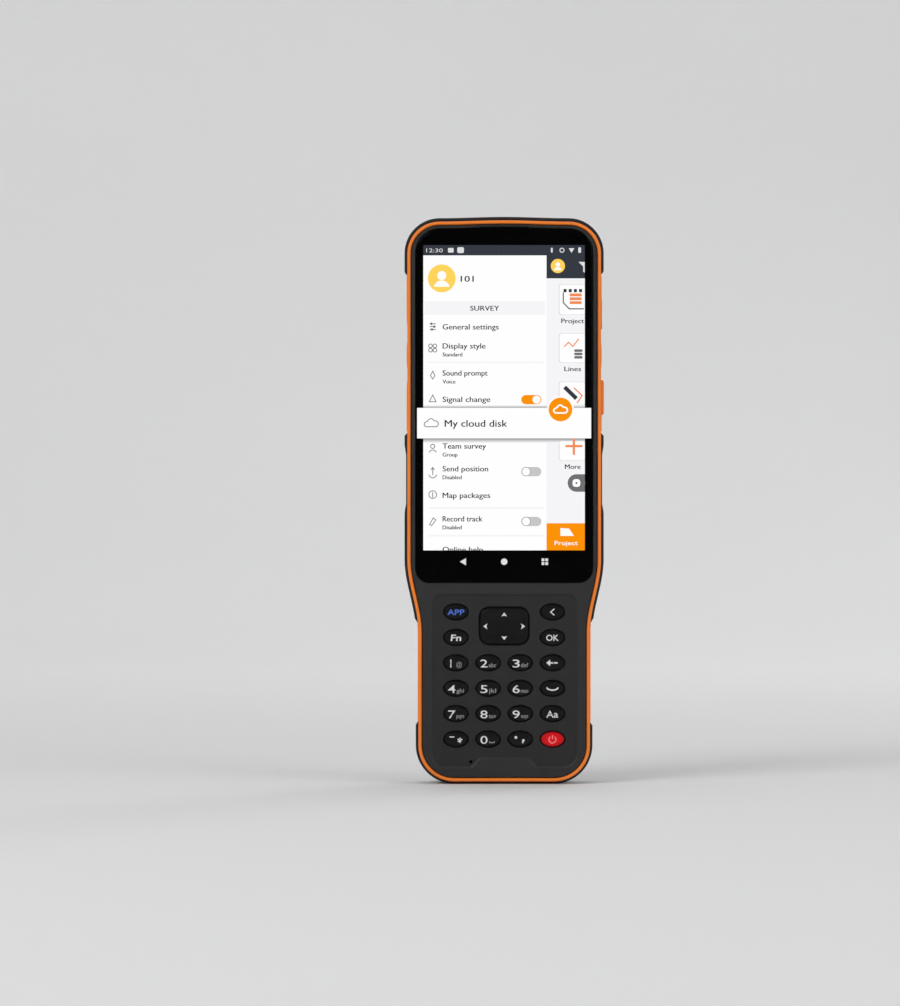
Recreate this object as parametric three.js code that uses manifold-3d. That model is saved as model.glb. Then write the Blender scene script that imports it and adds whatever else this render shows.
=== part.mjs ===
// A rugged handheld data collector: touch screen above, keypad below, one orange frame between two dark housings.
// Units are millimetres. +Z runs up the long side, the screen looks along -Y and +X is on the right of the screen.
// The origin lies under the middle of the flat foot, half way through the thickness.

import * as THREE from "three";
import { mergeVertices } from "three/addons/utils/BufferGeometryUtils.js";
import Module from "manifold-3d";

const wasm = await Module();
wasm.setup();

// ---------------------------------------------------------------- driving dimensions

const GAP = 0.3; // clearance between neighbouring pieces

// Outlines seen from the front. low and high are half widths below and above the waist, foot and head the ends.
const BUMPER = { low: 34.3, high: 38.65, foot: 0, head: 219.5, crown: 0.5, footR: 15, headR: 13.6 };
const FRAME = { low: 33.35, high: 37.65, foot: 0.93, head: 218.1, crown: 0.5, footR: 14, headR: 12.6 };
const CREASE = { low: 27.7, high: 27.7, foot: 14.2, head: 207.9, crown: 0.4, footR: 8, headR: 6.5 };
const GLASS = { low: 34.2, high: 34.2, foot: 78.2, head: 215.1, crown: 0.45, footR: 5.3, headR: 9.2 };
const WAIST = { from: 59, to: 87 };
const SIDE_STOPS = [0.23, 0.265, 0.3, 0.34, 0.38];
const CORNER_STEPS = 4;
const CROWN_STEPS = 2;

// Depths, from the crest of the orange bead at the front to the strap bar at the back.
const DEPTH = {
  crest: -11.5,
  cover: -10.9,
  keypadPanel: -10.3,
  glass: -10.7,
  glassBack: -9.4,
  coverBack: -8.3,
  frameLedge: -8.0,
  bumperFront: -9.0,
  frameBack: 1.0,
  flankStart: 2.0,
  panel: 10.85,
  rear: 11.2,
};
const BEAD_WIDTH = 1.5;
const CORE = { outer: 1.3, inner: 3.2 }; // the frame's wall under the bumper, as insets from its outline
const WALL = 2.0; // rear housing
const FLANK_STEPS = 4;

// Where the frame shows at the sides: an upper window with slanted ends and a shallow lower one.
const UPPER_WINDOW = { x: 32.8, from: 141.8, to: 192.2, slant: 6.8, tail: 7 };
const LOWER_WINDOW = { x: 32.7, from: 24.7, to: 61.0, slant: 9.8, tail: 8.0 };

const KEY = { w: 9.0, h: 5.7, travel: 0.8, top: -11.1, flange: 0.8, flangeFront: -8.6, flangeBack: -8.0 };
const KEY_COLUMNS = [-18.7, -6.23, 6.23, 18.7];
const KEY_ROWS = [66.7, 56.8, 47.0, 37.1, 27.3, 17.4];
const KEY_STEPS = 12;
const KEY_NAMES = [
  ["key_app", null, null, "key_back"],
  ["key_fn", null, null, "key_ok"],
  ["key_1", "key_2", "key_3", "key_delete"],
  ["key_4", "key_5", "key_6", "key_space"],
  ["key_7", "key_8", "key_9", "key_shift"],
  ["key_minus", "key_0", "key_point", "key_power"],
];
const DPAD = { z: 61.25, w: 18.6, h: 13.9, r: 3.6, top: -11.0 };
const KEYPAD = { half: 28.8, foot: 6.0, head: 74.0, footR: 6, headR: 3.5, tabTop: 9.5, tabHalf: 9.3, tabFoot: 12.3 };

// Screws that close the case from behind, right-hand side; each sits under a rubber plug.
const SCREW_PLACES = [
  [31.2, 210.4],
  [33.0, 167.4],
  [32.9, 131.2],
  [32.8, 85.0],
  [28.5, 51.5],
  [25.4, 8.6],
];
const TOP_SCREW = [0, 213.0];
const SCREW = { headR: 1.8, shankR: 0.9, headBack: 6.8, headFront: 5.0, tip: -2.4 };
const PLUG = { r: 2.95, floor: 8.4 };
const BOSS_R = 2.4;

const GROOVE = { half: 24.5, h: 10.3, r: 3, depth: 0.5, first: 46.8, pitch: 19.6, count: 5 };
const SLOT = { w: 5.0, h: 1.1, pitchX: 6.24, pitchZ: 3.7, z: 27.75 };
const DISPLAY = { half: 32.2, foot: 79.7, head: 210.6, front: -9.1, back: -6.8 };
const SLOTS_PER_ROW = [3, 5, 5, 3];
const STRAP_BAR = { z: 163.9, half: 20.8, r: 5.7, back: 11.4, front: 9.8, foot: 8.3, screwX: 15.4 };
const STRAP_POCKET = { half: 21.8, r: 6.53, floor: 8.0 };
const LABEL = { z: 147.5, w: 41, h: 10, r: 3.3, back: 10.8, front: 10.25 };
const CAMERA = { x: 13.8, z: 200.3, r: 4.65 };
const FLASH = { x: 13.8, z: 191.4, w: 6.5, h: 4.3 };
const INSERT = { z: 7.25, outer: 3.27, inner: 1.85, length: 3.4 };
const FACET = { y: 8.0, z: 3.4, slope: 0.264, topX: 15.1, topZ: 14.6, footX: 9.1, footZ: -1 };
const PORT = { half: 10, front: -5.5, back: 7.2, top: 3.2, hingeY: -5.2, hingeZ: 0.4 };
const SIDE_KEY = { z: 150, half: 6.8, front: -5.5, back: 0.2, face: 38.95 };
const VOLUME_KEY = { z: 182.7, half: 6.5, front: -5.5, back: 0.2, face: 38.15 };

const COLOURS = {
  rubber: { color: 0x3d3e40, roughness: 0.75, metalness: 0 },
  orange: { color: 0xee732a, roughness: 0.5, metalness: 0 },
  cover: { color: 0x303234, roughness: 0.6, metalness: 0 },
  glass: { color: 0x050506, roughness: 0.08, metalness: 0 },
  key: { color: 0x151515, roughness: 0.35, metalness: 0 },
  red: { color: 0xd8141c, roughness: 0.35, metalness: 0 },
  steel: { color: 0x9a9c9f, roughness: 0.35, metalness: 1 },
  magnesium: { color: 0x8d9093, roughness: 0.5, metalness: 1 },
  board: { color: 0x14512f, roughness: 0.6, metalness: 0 },
  cell: { color: 0x202326, roughness: 0.55, metalness: 0 },
  silicone: { color: 0x5a5c5e, roughness: 0.85, metalness: 0 },
  brass: { color: 0xe6cf33, roughness: 0.35, metalness: 1 },
};

// ---------------------------------------------------------------- solids and meshes

/** A manifold-3d solid of a closed three.js geometry, turned right way out. */
function solid(geometry) {
  const bare = geometry.clone();
  bare.deleteAttribute("normal");
  bare.deleteAttribute("uv");
  const merged = mergeVertices(bare, 1e-4);
  const vertProperties = new Float32Array(merged.attributes.position.array);
  const triVerts = new Uint32Array(merged.index.array);
  const made = new wasm.Manifold(new wasm.Mesh({ numProp: 3, vertProperties, triVerts }));
  if (made.volume() > 0) return made;
  triVerts.reverse();
  return new wasm.Manifold(new wasm.Mesh({ numProp: 3, vertProperties, triVerts }));
}

/** The three.js geometry of a manifold-3d solid. */
function geometryOf(body) {
  const { vertProperties, triVerts } = body.getMesh();
  const geometry = new THREE.BufferGeometry();
  geometry.setAttribute("position", new THREE.BufferAttribute(vertProperties, 3));
  geometry.setIndex(new THREE.BufferAttribute(triVerts, 1));
  geometry.computeVertexNormals();
  return geometry;
}

const collector = new THREE.Group();

function add(name, body, finish) {
  const mesh = new THREE.Mesh(geometryOf(body), new THREE.MeshStandardMaterial(COLOURS[finish]));
  mesh.name = name;
  collector.add(mesh);
}

function union(bodies) {
  return bodies.reduce((all, one) => all.add(one));
}

function mirrored(body) {
  return body.mirror([1, 0, 0]);
}

/** A box from its lowest to its highest corner. */
function box(low, high) {
  const size = high.map((value, i) => value - low[i]);
  const made = new THREE.BoxGeometry(...size);
  made.translate(...low.map((value, i) => value + size[i] / 2));
  return solid(made);
}

/** A slab whose outline lies in the XZ plane, from depth y0 to y1. */
function slab(points, y0, y1) {
  const shape = new THREE.Shape(points.map(([x, z]) => new THREE.Vector2(x, z)));
  const made = new THREE.ExtrudeGeometry(shape, { depth: y1 - y0, bevelEnabled: false });
  made.rotateX(Math.PI / 2);
  made.translate(0, y1, 0);
  return solid(made);
}

/** A turned piece about a line parallel to Y: profile holds [radius, y] pairs that start and end on the axis. */
function turned(profile, x, z, steps = 10, squash = 1) {
  const points = profile.map(([r, y]) => new THREE.Vector2(r, y));
  const made = new THREE.LatheGeometry(points, steps);
  made.scale(1, 1, squash);
  made.translate(x, 0, z);
  return solid(made);
}

function rod(r, x, z, y0, y1, steps = 10) {
  return turned([[0, y0], [r, y0], [r, y1], [0, y1]], x, z, steps);
}

/** Corner points of a rounded rectangle about [x, z]. */
function roundedRectangle(x, z, w, h, r, steps = 3) {
  const points = [];
  const centres = [[1, -1], [1, 1], [-1, 1], [-1, -1]];
  centres.forEach(([sx, sz], corner) => {
    for (let i = 0; i <= steps; i += 1) {
      const angle = ((corner - 1 + i / steps) * Math.PI) / 2;
      const px = x + sx * (w / 2 - r) + r * Math.cos(angle);
      const pz = z + sz * (h / 2 - r) + r * Math.sin(angle);
      points.push([px, pz]);
    }
  });
  return points;
}

function ellipse(x, z, w, h, steps) {
  return Array.from({ length: steps }, (_, i) => {
    const angle = (2 * Math.PI * i) / steps;
    return [x + (w / 2) * Math.cos(angle), z + (h / 2) * Math.sin(angle)];
  });
}

/** Skin over rings of equal point counts, given as [x, y, z]. A closed loft joins its last ring to its first. */
function loft(rings, closed) {
  const count = rings[0].length;
  const positions = rings.flat();
  const index = [];
  const bands = closed ? rings.length : rings.length - 1;
  for (let band = 0; band < bands; band += 1) {
    const a = band * count;
    const b = ((band + 1) % rings.length) * count;
    for (let i = 0; i < count; i += 1) {
      const j = (i + 1) % count;
      index.push(a + i, a + j, b + j, a + i, b + j, b + i);
    }
  }
  if (!closed) {
    [0, rings.length - 1].forEach((end) => {
      const ring = rings[end];
      const middle = [0, 1, 2].map((axis) => ring.reduce((sum, at) => sum + at[axis], 0) / count);
      const centre = positions.push(middle) - 1;
      const start = end * count;
      for (let i = 0; i < count; i += 1) {
        const pair = [start + i, start + ((i + 1) % count)];
        index.push(centre, ...(end ? pair : pair.reverse()));
      }
    });
  }
  const geometry = new THREE.BufferGeometry();
  geometry.setAttribute("position", new THREE.Float32BufferAttribute(positions.flat(), 3));
  geometry.setIndex(index);
  return solid(geometry);
}

// ---------------------------------------------------------------- outlines of the body

function smooth(t) {
  const u = Math.min(1, Math.max(0, t));
  return u * u * (3 - 2 * u);
}

/** Half width of an outline at height z: narrow at the grip, wide at the screen, with an S curve at the waist. */
function halfWidth(shape, z) {
  return shape.low + (shape.high - shape.low) * smooth((z - WAIST.from) / (WAIST.to - WAIST.from));
}

/** The closed outline of a shape, moved inwards by inset, as [x, z] points from the middle of the foot. */
function outline(shape, inset = 0) {
  const right = [];
  const arc = (cx, cz, r, from) => {
    for (let i = 0; i <= CORNER_STEPS; i += 1) {
      const angle = ((from + (90 * i) / CORNER_STEPS) * Math.PI) / 180;
      right.push([cx + r * Math.cos(angle), cz + r * Math.sin(angle)]);
    }
  };
  const sideFoot = shape.foot + shape.footR;
  const sideHead = shape.head - shape.headR;
  arc(shape.low - shape.footR, sideFoot, shape.footR - inset, -90);
  SIDE_STOPS.forEach((share) => {
    const z = sideFoot + share * (sideHead - sideFoot);
    right.push([halfWidth(shape, z) - inset, z]);
  });
  const crownX = shape.high - shape.headR;
  arc(crownX, sideHead, shape.headR - inset, 0);
  for (let i = CROWN_STEPS - 1; i >= 1; i -= 1) {
    const share = i / CROWN_STEPS;
    const lift = (shape.crown * (1 + Math.cos(Math.PI * share))) / 2;
    right.push([crownX * share, shape.head - inset + lift]);
  }
  const left = right.map(([x, z]) => [-x, z]).reverse();
  return [[0, shape.foot + inset], ...right, [0, shape.head - inset + shape.crown], ...left];
}

function atDepth(points, y) {
  return points.map(([x, z]) => [x, y, z]);
}

/** Rings of the curved flank, a quarter of an ellipse from an outline to the crease of the back. */
function flank(edge, top) {
  const crease = outline(CREASE);
  return Array.from({ length: FLANK_STEPS + 1 }, (_, step) => {
    const angle = (step / FLANK_STEPS) * (Math.PI / 2);
    const share = 1 - Math.cos(angle);
    const y = DEPTH.flankStart + (top - DEPTH.flankStart) * Math.sin(angle);
    return edge.map(([x, z], i) => [
      x + share * (crease[i][0] - x),
      y,
      z + share * (crease[i][1] - z),
    ]);
  });
}

/** A ring-shaped piece that follows the frame's outline: section holds [inset, y] pairs. */
function hoop(section) {
  return loft(section.map(([inset, y]) => atDepth(outline(FRAME, inset), y)), true);
}

/** The XZ outline of a side window; shrink moves its edges inwards. */
function windowOutline(place, shrink) {
  const reach = 45;
  const run = reach - place.x;
  return [
    [place.x + shrink, place.from + shrink / 2],
    [reach, place.from + shrink / 2 - (place.tail * run) / 6],
    [reach, place.to - shrink / 2 + (place.slant * run) / 6],
    [place.x + shrink, place.to - shrink / 2],
  ];
}

const bothSides = SCREW_PLACES.flatMap(([x, z]) => [[x, z], [-x, z]]);
const screwPlaces = [TOP_SCREW, ...bothSides];
const strapScrewPlaces = [[STRAP_BAR.screwX, STRAP_BAR.z], [-STRAP_BAR.screwX, STRAP_BAR.z]];
const lobe = SCREW_PLACES[1]; // the screw that stands in the upper side window

// ---------------------------------------------------------------- rear housing

const bumper = outline(BUMPER);
const bodyRings = [
  atDepth(outline(BUMPER, 0.3), DEPTH.bumperFront),
  atDepth(bumper, DEPTH.bumperFront + 0.3),
  ...flank(bumper, DEPTH.rear),
];
const bodyShape = loft([...bodyRings, atDepth(outline(CREASE, 0.7), DEPTH.panel)], false);

function strapStadium(half, r, y0, y1) {
  return slab(roundedRectangle(0, STRAP_BAR.z, half * 2, r * 2, r - 0.01, 5), y0, y1);
}

function facetCutter() {
  const floor = (z) => FACET.y + (z - FACET.z) * FACET.slope;
  const ring = (x, z) => [[-x, floor(z), z], [x, floor(z), z], [x, 14, z], [-x, 14, z]];
  return loft([ring(FACET.footX, FACET.footZ), ring(FACET.topX, FACET.topZ)], false);
}

const insertY = FACET.y + (INSERT.z - FACET.z) * FACET.slope;

function rearHousing() {
  const cavityEdge = outline(FRAME, 1.0);
  const cavity = loft([atDepth(cavityEdge, -14), ...flank(cavityEdge, DEPTH.rear - WALL)], false);
  const blocks = [
    box([-23, 5.5, 156.2], [23, 9.6, 171.6]), // behind the strap bar's pocket
    box([-12, 2.4, 1.8], [12, 9.6, 13.5]), // around the brass insert
  ];
  const bosses = screwPlaces.flatMap(([x, z]) => [
    rod(1.85, x, z, 1.3, 4.8, 8),
    rod(3.5, x, z, 4.3, 12, 8).intersect(bodyShape),
  ]);
  let body = bodyShape.subtract(cavity);
  body = union([body, ...blocks, ...bosses]).intersect(bodyShape);

  const window = slab(windowOutline(UPPER_WINDOW, 0), -14, 14);
  const keptLobe = rod(3.6, ...lobe, 1.3, 14, 12);
  const upper = window.subtract(keptLobe);
  const lower = slab(windowOutline(LOWER_WINDOW, 0), -14, 14);
  const grooves = Array.from({ length: GROOVE.count }, (_, i) => {
    const z = GROOVE.first + i * GROOVE.pitch;
    const edge = roundedRectangle(0, z, GROOVE.half * 2, GROOVE.h, GROOVE.r);
    return slab(edge, DEPTH.panel - GROOVE.depth, 14);
  });
  const slots = SLOTS_PER_ROW.flatMap((count, row) =>
    Array.from({ length: count }, (_, i) => {
      const x = (i - (count - 1) / 2) * SLOT.pitchX;
      const z = SLOT.z + (row - 1.5) * SLOT.pitchZ;
      return slab(roundedRectangle(x, z, SLOT.w, SLOT.h, 0.5, 1), 8, 14);
    }),
  );
  const screwHoles = screwPlaces.map(([x, z]) =>
    turned(
      [[0, 0], [1.2, 0], [1.2, 4.7], [2.1, 4.7], [2.1, PLUG.floor], [PLUG.r, PLUG.floor], [PLUG.r, 14], [0, 14]],
      x,
      z,
      12,
    ),
  );
  const strapHoles = strapScrewPlaces.map(([x, z]) => rod(1.2, x, z, 5.9, 10, 8));
  const tilt = Math.atan(FACET.slope);
  const insertHole = new THREE.CylinderGeometry(INSERT.outer + GAP, INSERT.outer + GAP, 7, 12);
  insertHole.rotateX(-tilt);
  insertHole.translate(0, insertY, INSERT.z);
  const cuts = [
    upper,
    mirrored(upper),
    lower,
    mirrored(lower),
    ...grooves,
    ...slots,
    ...screwHoles,
    ...strapHoles,
    strapStadium(STRAP_POCKET.half, STRAP_POCKET.r, STRAP_POCKET.floor, 14),
    slab(roundedRectangle(0, LABEL.z, LABEL.w + 0.6, LABEL.h + 0.6, LABEL.r + 0.3), LABEL.front - GAP, 14),
    rod(3.6, CAMERA.x, CAMERA.z, 8, 14, 12),
    rod(CAMERA.r + GAP, CAMERA.x, CAMERA.z, 10.2, 14, 16),
    slab(ellipse(FLASH.x, FLASH.z, FLASH.w + 0.6, FLASH.h + 0.6, 12), 9.9, 14),
    rod(1.2, FLASH.x, FLASH.z, 8, 14, 8),
    facetCutter(),
    solid(insertHole),
    box([-PORT.half - GAP, PORT.front - GAP, -1], [PORT.half + GAP, 14, PORT.top + GAP]),
  ];
  return body.subtract(union(cuts));
}

// ---------------------------------------------------------------- orange frame

/** Through-hole in the side wall for a side key. */
function sideWindow(key) {
  const low = [33, key.front - GAP, key.z - key.half - GAP];
  return box(low, [42, key.back + GAP, key.z + key.half + GAP]);
}

function midFrame() {
  const ring = hoop([
    [0, -9.3],
    [0, -10.8],
    [0.25, -11.3],
    [BEAD_WIDTH / 2, DEPTH.crest],
    [BEAD_WIDTH - 0.25, -11.3],
    [BEAD_WIDTH, -10.8],
    [BEAD_WIDTH, DEPTH.frameLedge],
    [CORE.inner, DEPTH.frameLedge],
    [CORE.inner, DEPTH.frameBack],
    [CORE.outer, DEPTH.frameBack],
    [CORE.outer, -9.3],
  ]);
  const skinEdge = outline(FRAME, -0.15);
  const innerEdge = outline(FRAME, 2.6);
  const skin = loft([atDepth(skinEdge, -9.6), ...flank(skinEdge, DEPTH.rear - 0.85)], false);
  const hollow = loft([atDepth(innerEdge, -14), ...flank(innerEdge, DEPTH.rear - 3.3)], false);
  const shell = skin.subtract(hollow);
  const sealGroove = hoop([[1.3, 1.0], [2.9, 1.0], [2.9, 2.4], [1.3, 2.4]]);
  const upperPad = shell
    .intersect(slab(windowOutline(UPPER_WINDOW, GAP), -14, 14))
    .subtract(rod(3.6 + GAP, ...lobe, 1.0, 14, 12));
  const lowerPad = shell
    .intersect(slab(windowOutline(LOWER_WINDOW, GAP), -14, 14))
    .intersect(box([0, -14, 0], [50, 1.0, 100]));
  const coverEdge = outline(FRAME, BEAD_WIDTH);
  const coverSpace = loft([atDepth(coverEdge, -14), atDepth(coverEdge, DEPTH.frameLedge)], false);
  const pads = [upperPad, lowerPad].map((pad) => pad.subtract(sealGroove.add(coverSpace)));
  const bosses = screwPlaces.map(([x, z]) => rod(BOSS_R, x, z, -4, DEPTH.frameBack));
  const topWeb = box([-1.2, -4, 213], [1.2, DEPTH.frameBack, 216]);
  const body = union([ring, ...pads, ...pads.map(mirrored), ...bosses, topWeb]);
  const cuts = [
    ...screwPlaces.map(([x, z]) => rod(1.2, x, z, -3, 2, 8)),
    sideWindow(SIDE_KEY),
    sideWindow(VOLUME_KEY),
    box([-4.7, -2.1, 0], [4.7, 2, 6]), // way in to the USB socket
  ];
  return body.subtract(union(cuts));
}

// ---------------------------------------------------------------- front cover, glass and screen

/** Edge of the sunk keypad panel, with the raised tab at its foot. */
function keypadEdge() {
  const { half, foot, head, footR, headR, tabTop, tabHalf, tabFoot } = KEYPAD;
  const points = [[tabHalf, tabTop], [tabFoot, foot]];
  const corner = (cx, cz, r, from) => {
    for (let i = 0; i <= 3; i += 1) {
      const angle = ((from + 30 * i) * Math.PI) / 180;
      points.push([cx + r * Math.cos(angle), cz + r * Math.sin(angle)]);
    }
  };
  corner(half - footR, foot + footR, footR, -90);
  corner(half - headR, head - headR, headR, 0);
  const left = points.map(([x, z]) => [-x, z]).reverse();
  return [...points, ...left];
}

function keyHole([x, z]) {
  return slab(ellipse(x, z, KEY.w + 2 * GAP, KEY.h + 2 * GAP, KEY_STEPS), -14, -7);
}

const keyPlaces = KEY_NAMES.flatMap((row, i) =>
  row.map((name, j) => ({ name, at: [KEY_COLUMNS[j], KEY_ROWS[i]] })).filter(({ name }) => name),
);

function frontCover() {
  const plate = loft(
    [
      atDepth(outline(FRAME, BEAD_WIDTH + GAP), DEPTH.coverBack),
      atDepth(outline(FRAME, BEAD_WIDTH + GAP), DEPTH.cover),
    ],
    false,
  );
  const dpadHole = roundedRectangle(0, DPAD.z, DPAD.w + 0.8, DPAD.h + 0.8, DPAD.r + 0.4);
  const cuts = [
    slab(outline(GLASS, -GAP), -14, DEPTH.glassBack + GAP),
    box([-DISPLAY.half - GAP, -14, DISPLAY.foot - GAP], [DISPLAY.half + GAP, -7, DISPLAY.head + GAP]),
    slab(keypadEdge(), -14, DEPTH.keypadPanel),
    box([-27, -8.9, 9.3], [27, -7, 73.5]),
    slab(dpadHole, -14, -7),
    ...keyPlaces.map(({ at }) => keyHole(at)),
    rod(0.65, -12.9, 8.6, -14, -7, 6), // microphone
    box([-9.5, -14, 214], [9.5, -7, 216.2]), // earpiece slit above the glass
  ];
  return plate.subtract(union(cuts));
}

function touchGlass() {
  const edge = outline(GLASS);
  const rim = outline(GLASS, 0.35);
  return loft(
    [atDepth(edge, DEPTH.glassBack), atDepth(edge, DEPTH.glass + 0.3), atDepth(rim, DEPTH.glass)],
    false,
  );
}

function displayModule() {
  const { half, foot, head, front, back } = DISPLAY;
  return box([-half, front, foot], [half, back, head]);
}

// ---------------------------------------------------------------- keys

/** An oval key cap on a wider flange that keeps it behind the cover. */
function ovalKey(x, z) {
  const r = KEY.w / 2;
  const cap = turned(
    [
      [0, KEY.flangeBack],
      [r + KEY.flange, KEY.flangeBack],
      [r + KEY.flange, KEY.flangeFront],
      [r, KEY.flangeFront],
      [r, KEY.top + 0.5],
      [r - 0.5, KEY.top + 0.12],
      [0, KEY.top],
    ],
    0,
    0,
    KEY_STEPS,
    KEY.h / KEY.w,
  );
  return cap.translate([x, 0, z]);
}

function dpadCap() {
  const face = slab(roundedRectangle(0, DPAD.z, DPAD.w, DPAD.h, DPAD.r), DPAD.top, -8.2);
  const skirt = slab(roundedRectangle(0, DPAD.z, DPAD.w + 2, DPAD.h + 1.8, DPAD.r + 1), -8.2, -7.7);
  const dish = rod(3.2, 0, DPAD.z, DPAD.top - 1, DPAD.top + 0.25, 12);
  return face.add(skirt).subtract(dish);
}

function dpadRocker() {
  const plate = slab(roundedRectangle(0, DPAD.z, 8, 10, 2), -7.4, -6.8);
  return plate.add(rod(1.2, 0, DPAD.z, -7, -5.9, 8));
}

/** A side key: a block through the frame's wall with a flange inside. */
function sideKey(key) {
  const { z, half, front, back, face } = key;
  const block = loft(
    [
      [34, front, back, half],
      [face - 0.6, front, back, half],
      [face, front + 0.6, back - 0.6, half - 0.6],
    ].map(([x, y0, y1, h]) => [[x, y0, z - h], [x, y0, z + h], [x, y1, z + h], [x, y1, z - h]]),
    false,
  );
  const flange = box([33.4, front - 0.8, z - half - 0.8], [33.95, back + 0.7, z + half + 0.8]);
  const neck = box([33.6, front, z - half], [34.2, back, z + half]);
  return union([block, flange, neck]);
}

// ---------------------------------------------------------------- pieces inside

function keypadMat() {
  const sheet = box([-26, -6.4, 9.8], [26, -5.8, 73]);
  const pads = keyPlaces.map(({ at }) => rod(2, ...at, -6.9, -6.1, 6));
  const opening = box([-10.7, -8, DPAD.z - 7.95], [10.7, -5, DPAD.z + 7.95]);
  return union([sheet, ...pads]).subtract(opening);
}

function mainBoard() {
  const board = box([-29.8, -2.4, 102], [29.8, -1.4, 208]);
  const cans = [
    box([-26, -1.6, 108], [-4, 0.6, 130]),
    box([2, -1.6, 108], [24, 0.6, 138]),
    box([-24, -1.6, 172], [4, 0.4, 196]),
  ];
  const switches = [150, 179, 186.4].map((z) => box([27.5, -1.6, z - 2.5], [32.2, 0.2, z + 2.5]));
  return union([board, ...cans, ...switches]);
}

function chassis() {
  const plate = box([-25.4, -4.0, 13], [25.4, -2.9, 78]);
  const upper = box([-30, -4.0, 76], [30, -2.9, 207.4]);
  const bed = box([-29.5, -6.5, 84], [29.5, -3.9, 207.4]);
  return union([plate, upper, bed]);
}

function cameraModule() {
  const { x, z } = CAMERA;
  const body = box([x - 4.3, 1.6, z - 4.3], [x + 4.3, 6.8, z + 4.3]);
  return body.add(rod(3.2, x, z, 6.5, 9.8, 12));
}

function usbSocket() {
  const shell = box([-4.4, -1.6, 3.9], [4.4, 1.6, 11]);
  const mouth = box([-3.9, -1.2, 3], [3.9, 1.2, 9.5]);
  const tongue = box([-3.1, -0.3, 5], [3.1, 0.3, 9.8]);
  return shell.subtract(mouth).add(tongue);
}

/** A socket-head case screw lying along Y, its head towards the back. */
function caseScrew(x, z) {
  const { headR, shankR, headBack, headFront, tip } = SCREW;
  const socket = [[0.8, headBack], [0.8, headBack - 0.9], [0, headBack - 0.9]];
  const profile = [[0, tip], [shankR, tip], [shankR, headFront], [headR, headFront], [headR, headBack], ...socket];
  return turned(profile, x, z, 6);
}

/** A cross-head screw that holds the strap bar. */
function strapScrew(x, z) {
  const body = turned([[0, 6.3], [0.9, 6.3], [0.9, 10.6], [2.2, 10.6], [2.2, 11.3], [0, 11.3]], 0, 0, 8);
  const arm = box([-1.5, 10.8, -0.3], [1.5, 12, 0.3]);
  const cross = arm.add(arm.rotate([0, 90, 0]));
  return body.subtract(cross).rotate([0, 45, 0]).translate([x, 0, z]);
}

// ---------------------------------------------------------------- pieces on the back and the foot

function strapBar() {
  const plate = strapStadium(STRAP_BAR.half, STRAP_BAR.r, STRAP_BAR.front, STRAP_BAR.back);
  const stadium = strapStadium(STRAP_BAR.half, STRAP_BAR.r, STRAP_BAR.foot, STRAP_BAR.back);
  const feet = [box([10.5, 0, 150], [30, 20, 180]), box([-30, 0, 150], [-10.5, 20, 180])];
  const body = plate.add(stadium.intersect(union(feet)));
  const low = STRAP_BAR.z - STRAP_BAR.r;
  const cuts = [
    slab(roundedRectangle(0, STRAP_BAR.z, 16.4, 2.1, 1, 2), 5, 14),
    slab([[-8.9, low - 0.5], [8.9, low - 0.5], [7.2, low + 1.3], [-7.2, low + 1.3]], 5, 14),
    ...strapScrewPlaces.map(([x, z]) =>
      turned([[0, 5], [1.2, 5], [1.2, 10.3], [2.5, 10.3], [2.5, 14], [0, 14]], x, z, 8),
    ),
  ];
  return body.subtract(union(cuts));
}

function insertRing() {
  const { outer, inner, length, z } = INSERT;
  const tube = new THREE.LatheGeometry(
    [[inner, 0], [outer, 0], [outer, length], [inner, length], [inner, 0]].map(([r, y]) => new THREE.Vector2(r, y)),
    12,
  );
  tube.translate(0, 0.3 - length, 0);
  tube.rotateX(-Math.atan(FACET.slope));
  tube.translate(0, insertY, z);
  return solid(tube);
}

/** The rubber flap over the USB socket: a plate, a raised back edge and a plug. */
function portCover() {
  const { half, front, back, top } = PORT;
  const edge = outline(BUMPER, 0.2);
  const outside = loft([atDepth(edge, -12), ...flank(edge, DEPTH.rear - 0.2)], false);
  const plate = box([-half, front, 0], [half, back, 1.6]);
  const backEdge = box([-half, 2.5, 0], [half, back, top]);
  const plug = box([-4, -1.4, 1.2], [4, 1.0, 3.4]);
  return union([plate, backEdge]).intersect(outside).add(plug);
}

// ---------------------------------------------------------------- the assembly

add("rear_housing", rearHousing(), "rubber");
add("mid_frame", midFrame(), "orange");
add("front_cover", frontCover(), "cover");
add("touch_glass", touchGlass(), "glass");
add("display_module", displayModule(), "steel");
add("chassis_plate", chassis(), "magnesium");
add("main_board", mainBoard(), "board");
add("battery_pack", box([-24.5, -2.3, 40], [24.5, 6.3, 98]), "cell");
add("keypad_mat", keypadMat(), "silicone");
add("keypad_board", box([-26, -5.5, 10], [26, -4.5, 73]), "board");
add("speaker", box([-15, 3.5, 19.5], [15, 8.8, 36.5]), "cell");
add("earpiece", box([-7, -7.7, 211.8], [7, -4.4, 214.6]), "cell");
add("camera_module", cameraModule(), "cell");
add("camera_window", rod(CAMERA.r, CAMERA.x, CAMERA.z, 10.5, 11.3, 20), "glass");
add("flash_window", slab(ellipse(FLASH.x, FLASH.z, FLASH.w, FLASH.h, 12), 10.2, 10.95), "glass");
add("housing_seal", hoop([[1.6, 1.3], [2.6, 1.3], [2.6, 2.1], [1.6, 2.1]]), "silicone");
add("strap_bar", strapBar(), "rubber");
strapScrewPlaces.forEach(([x, z], i) => {
  add(`strap_bar_screw_${i + 1}`, strapScrew(x, z), "steel");
});
add("label_plate", slab(roundedRectangle(0, LABEL.z, LABEL.w, LABEL.h, LABEL.r), LABEL.front, LABEL.back), "glass");
add("strap_insert", insertRing(), "brass");
add("usb_socket", usbSocket(), "steel");
add("port_cover", portCover(), "rubber");
add("side_key", sideKey(SIDE_KEY), "orange");
add("volume_key", sideKey(VOLUME_KEY), "orange");
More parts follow.
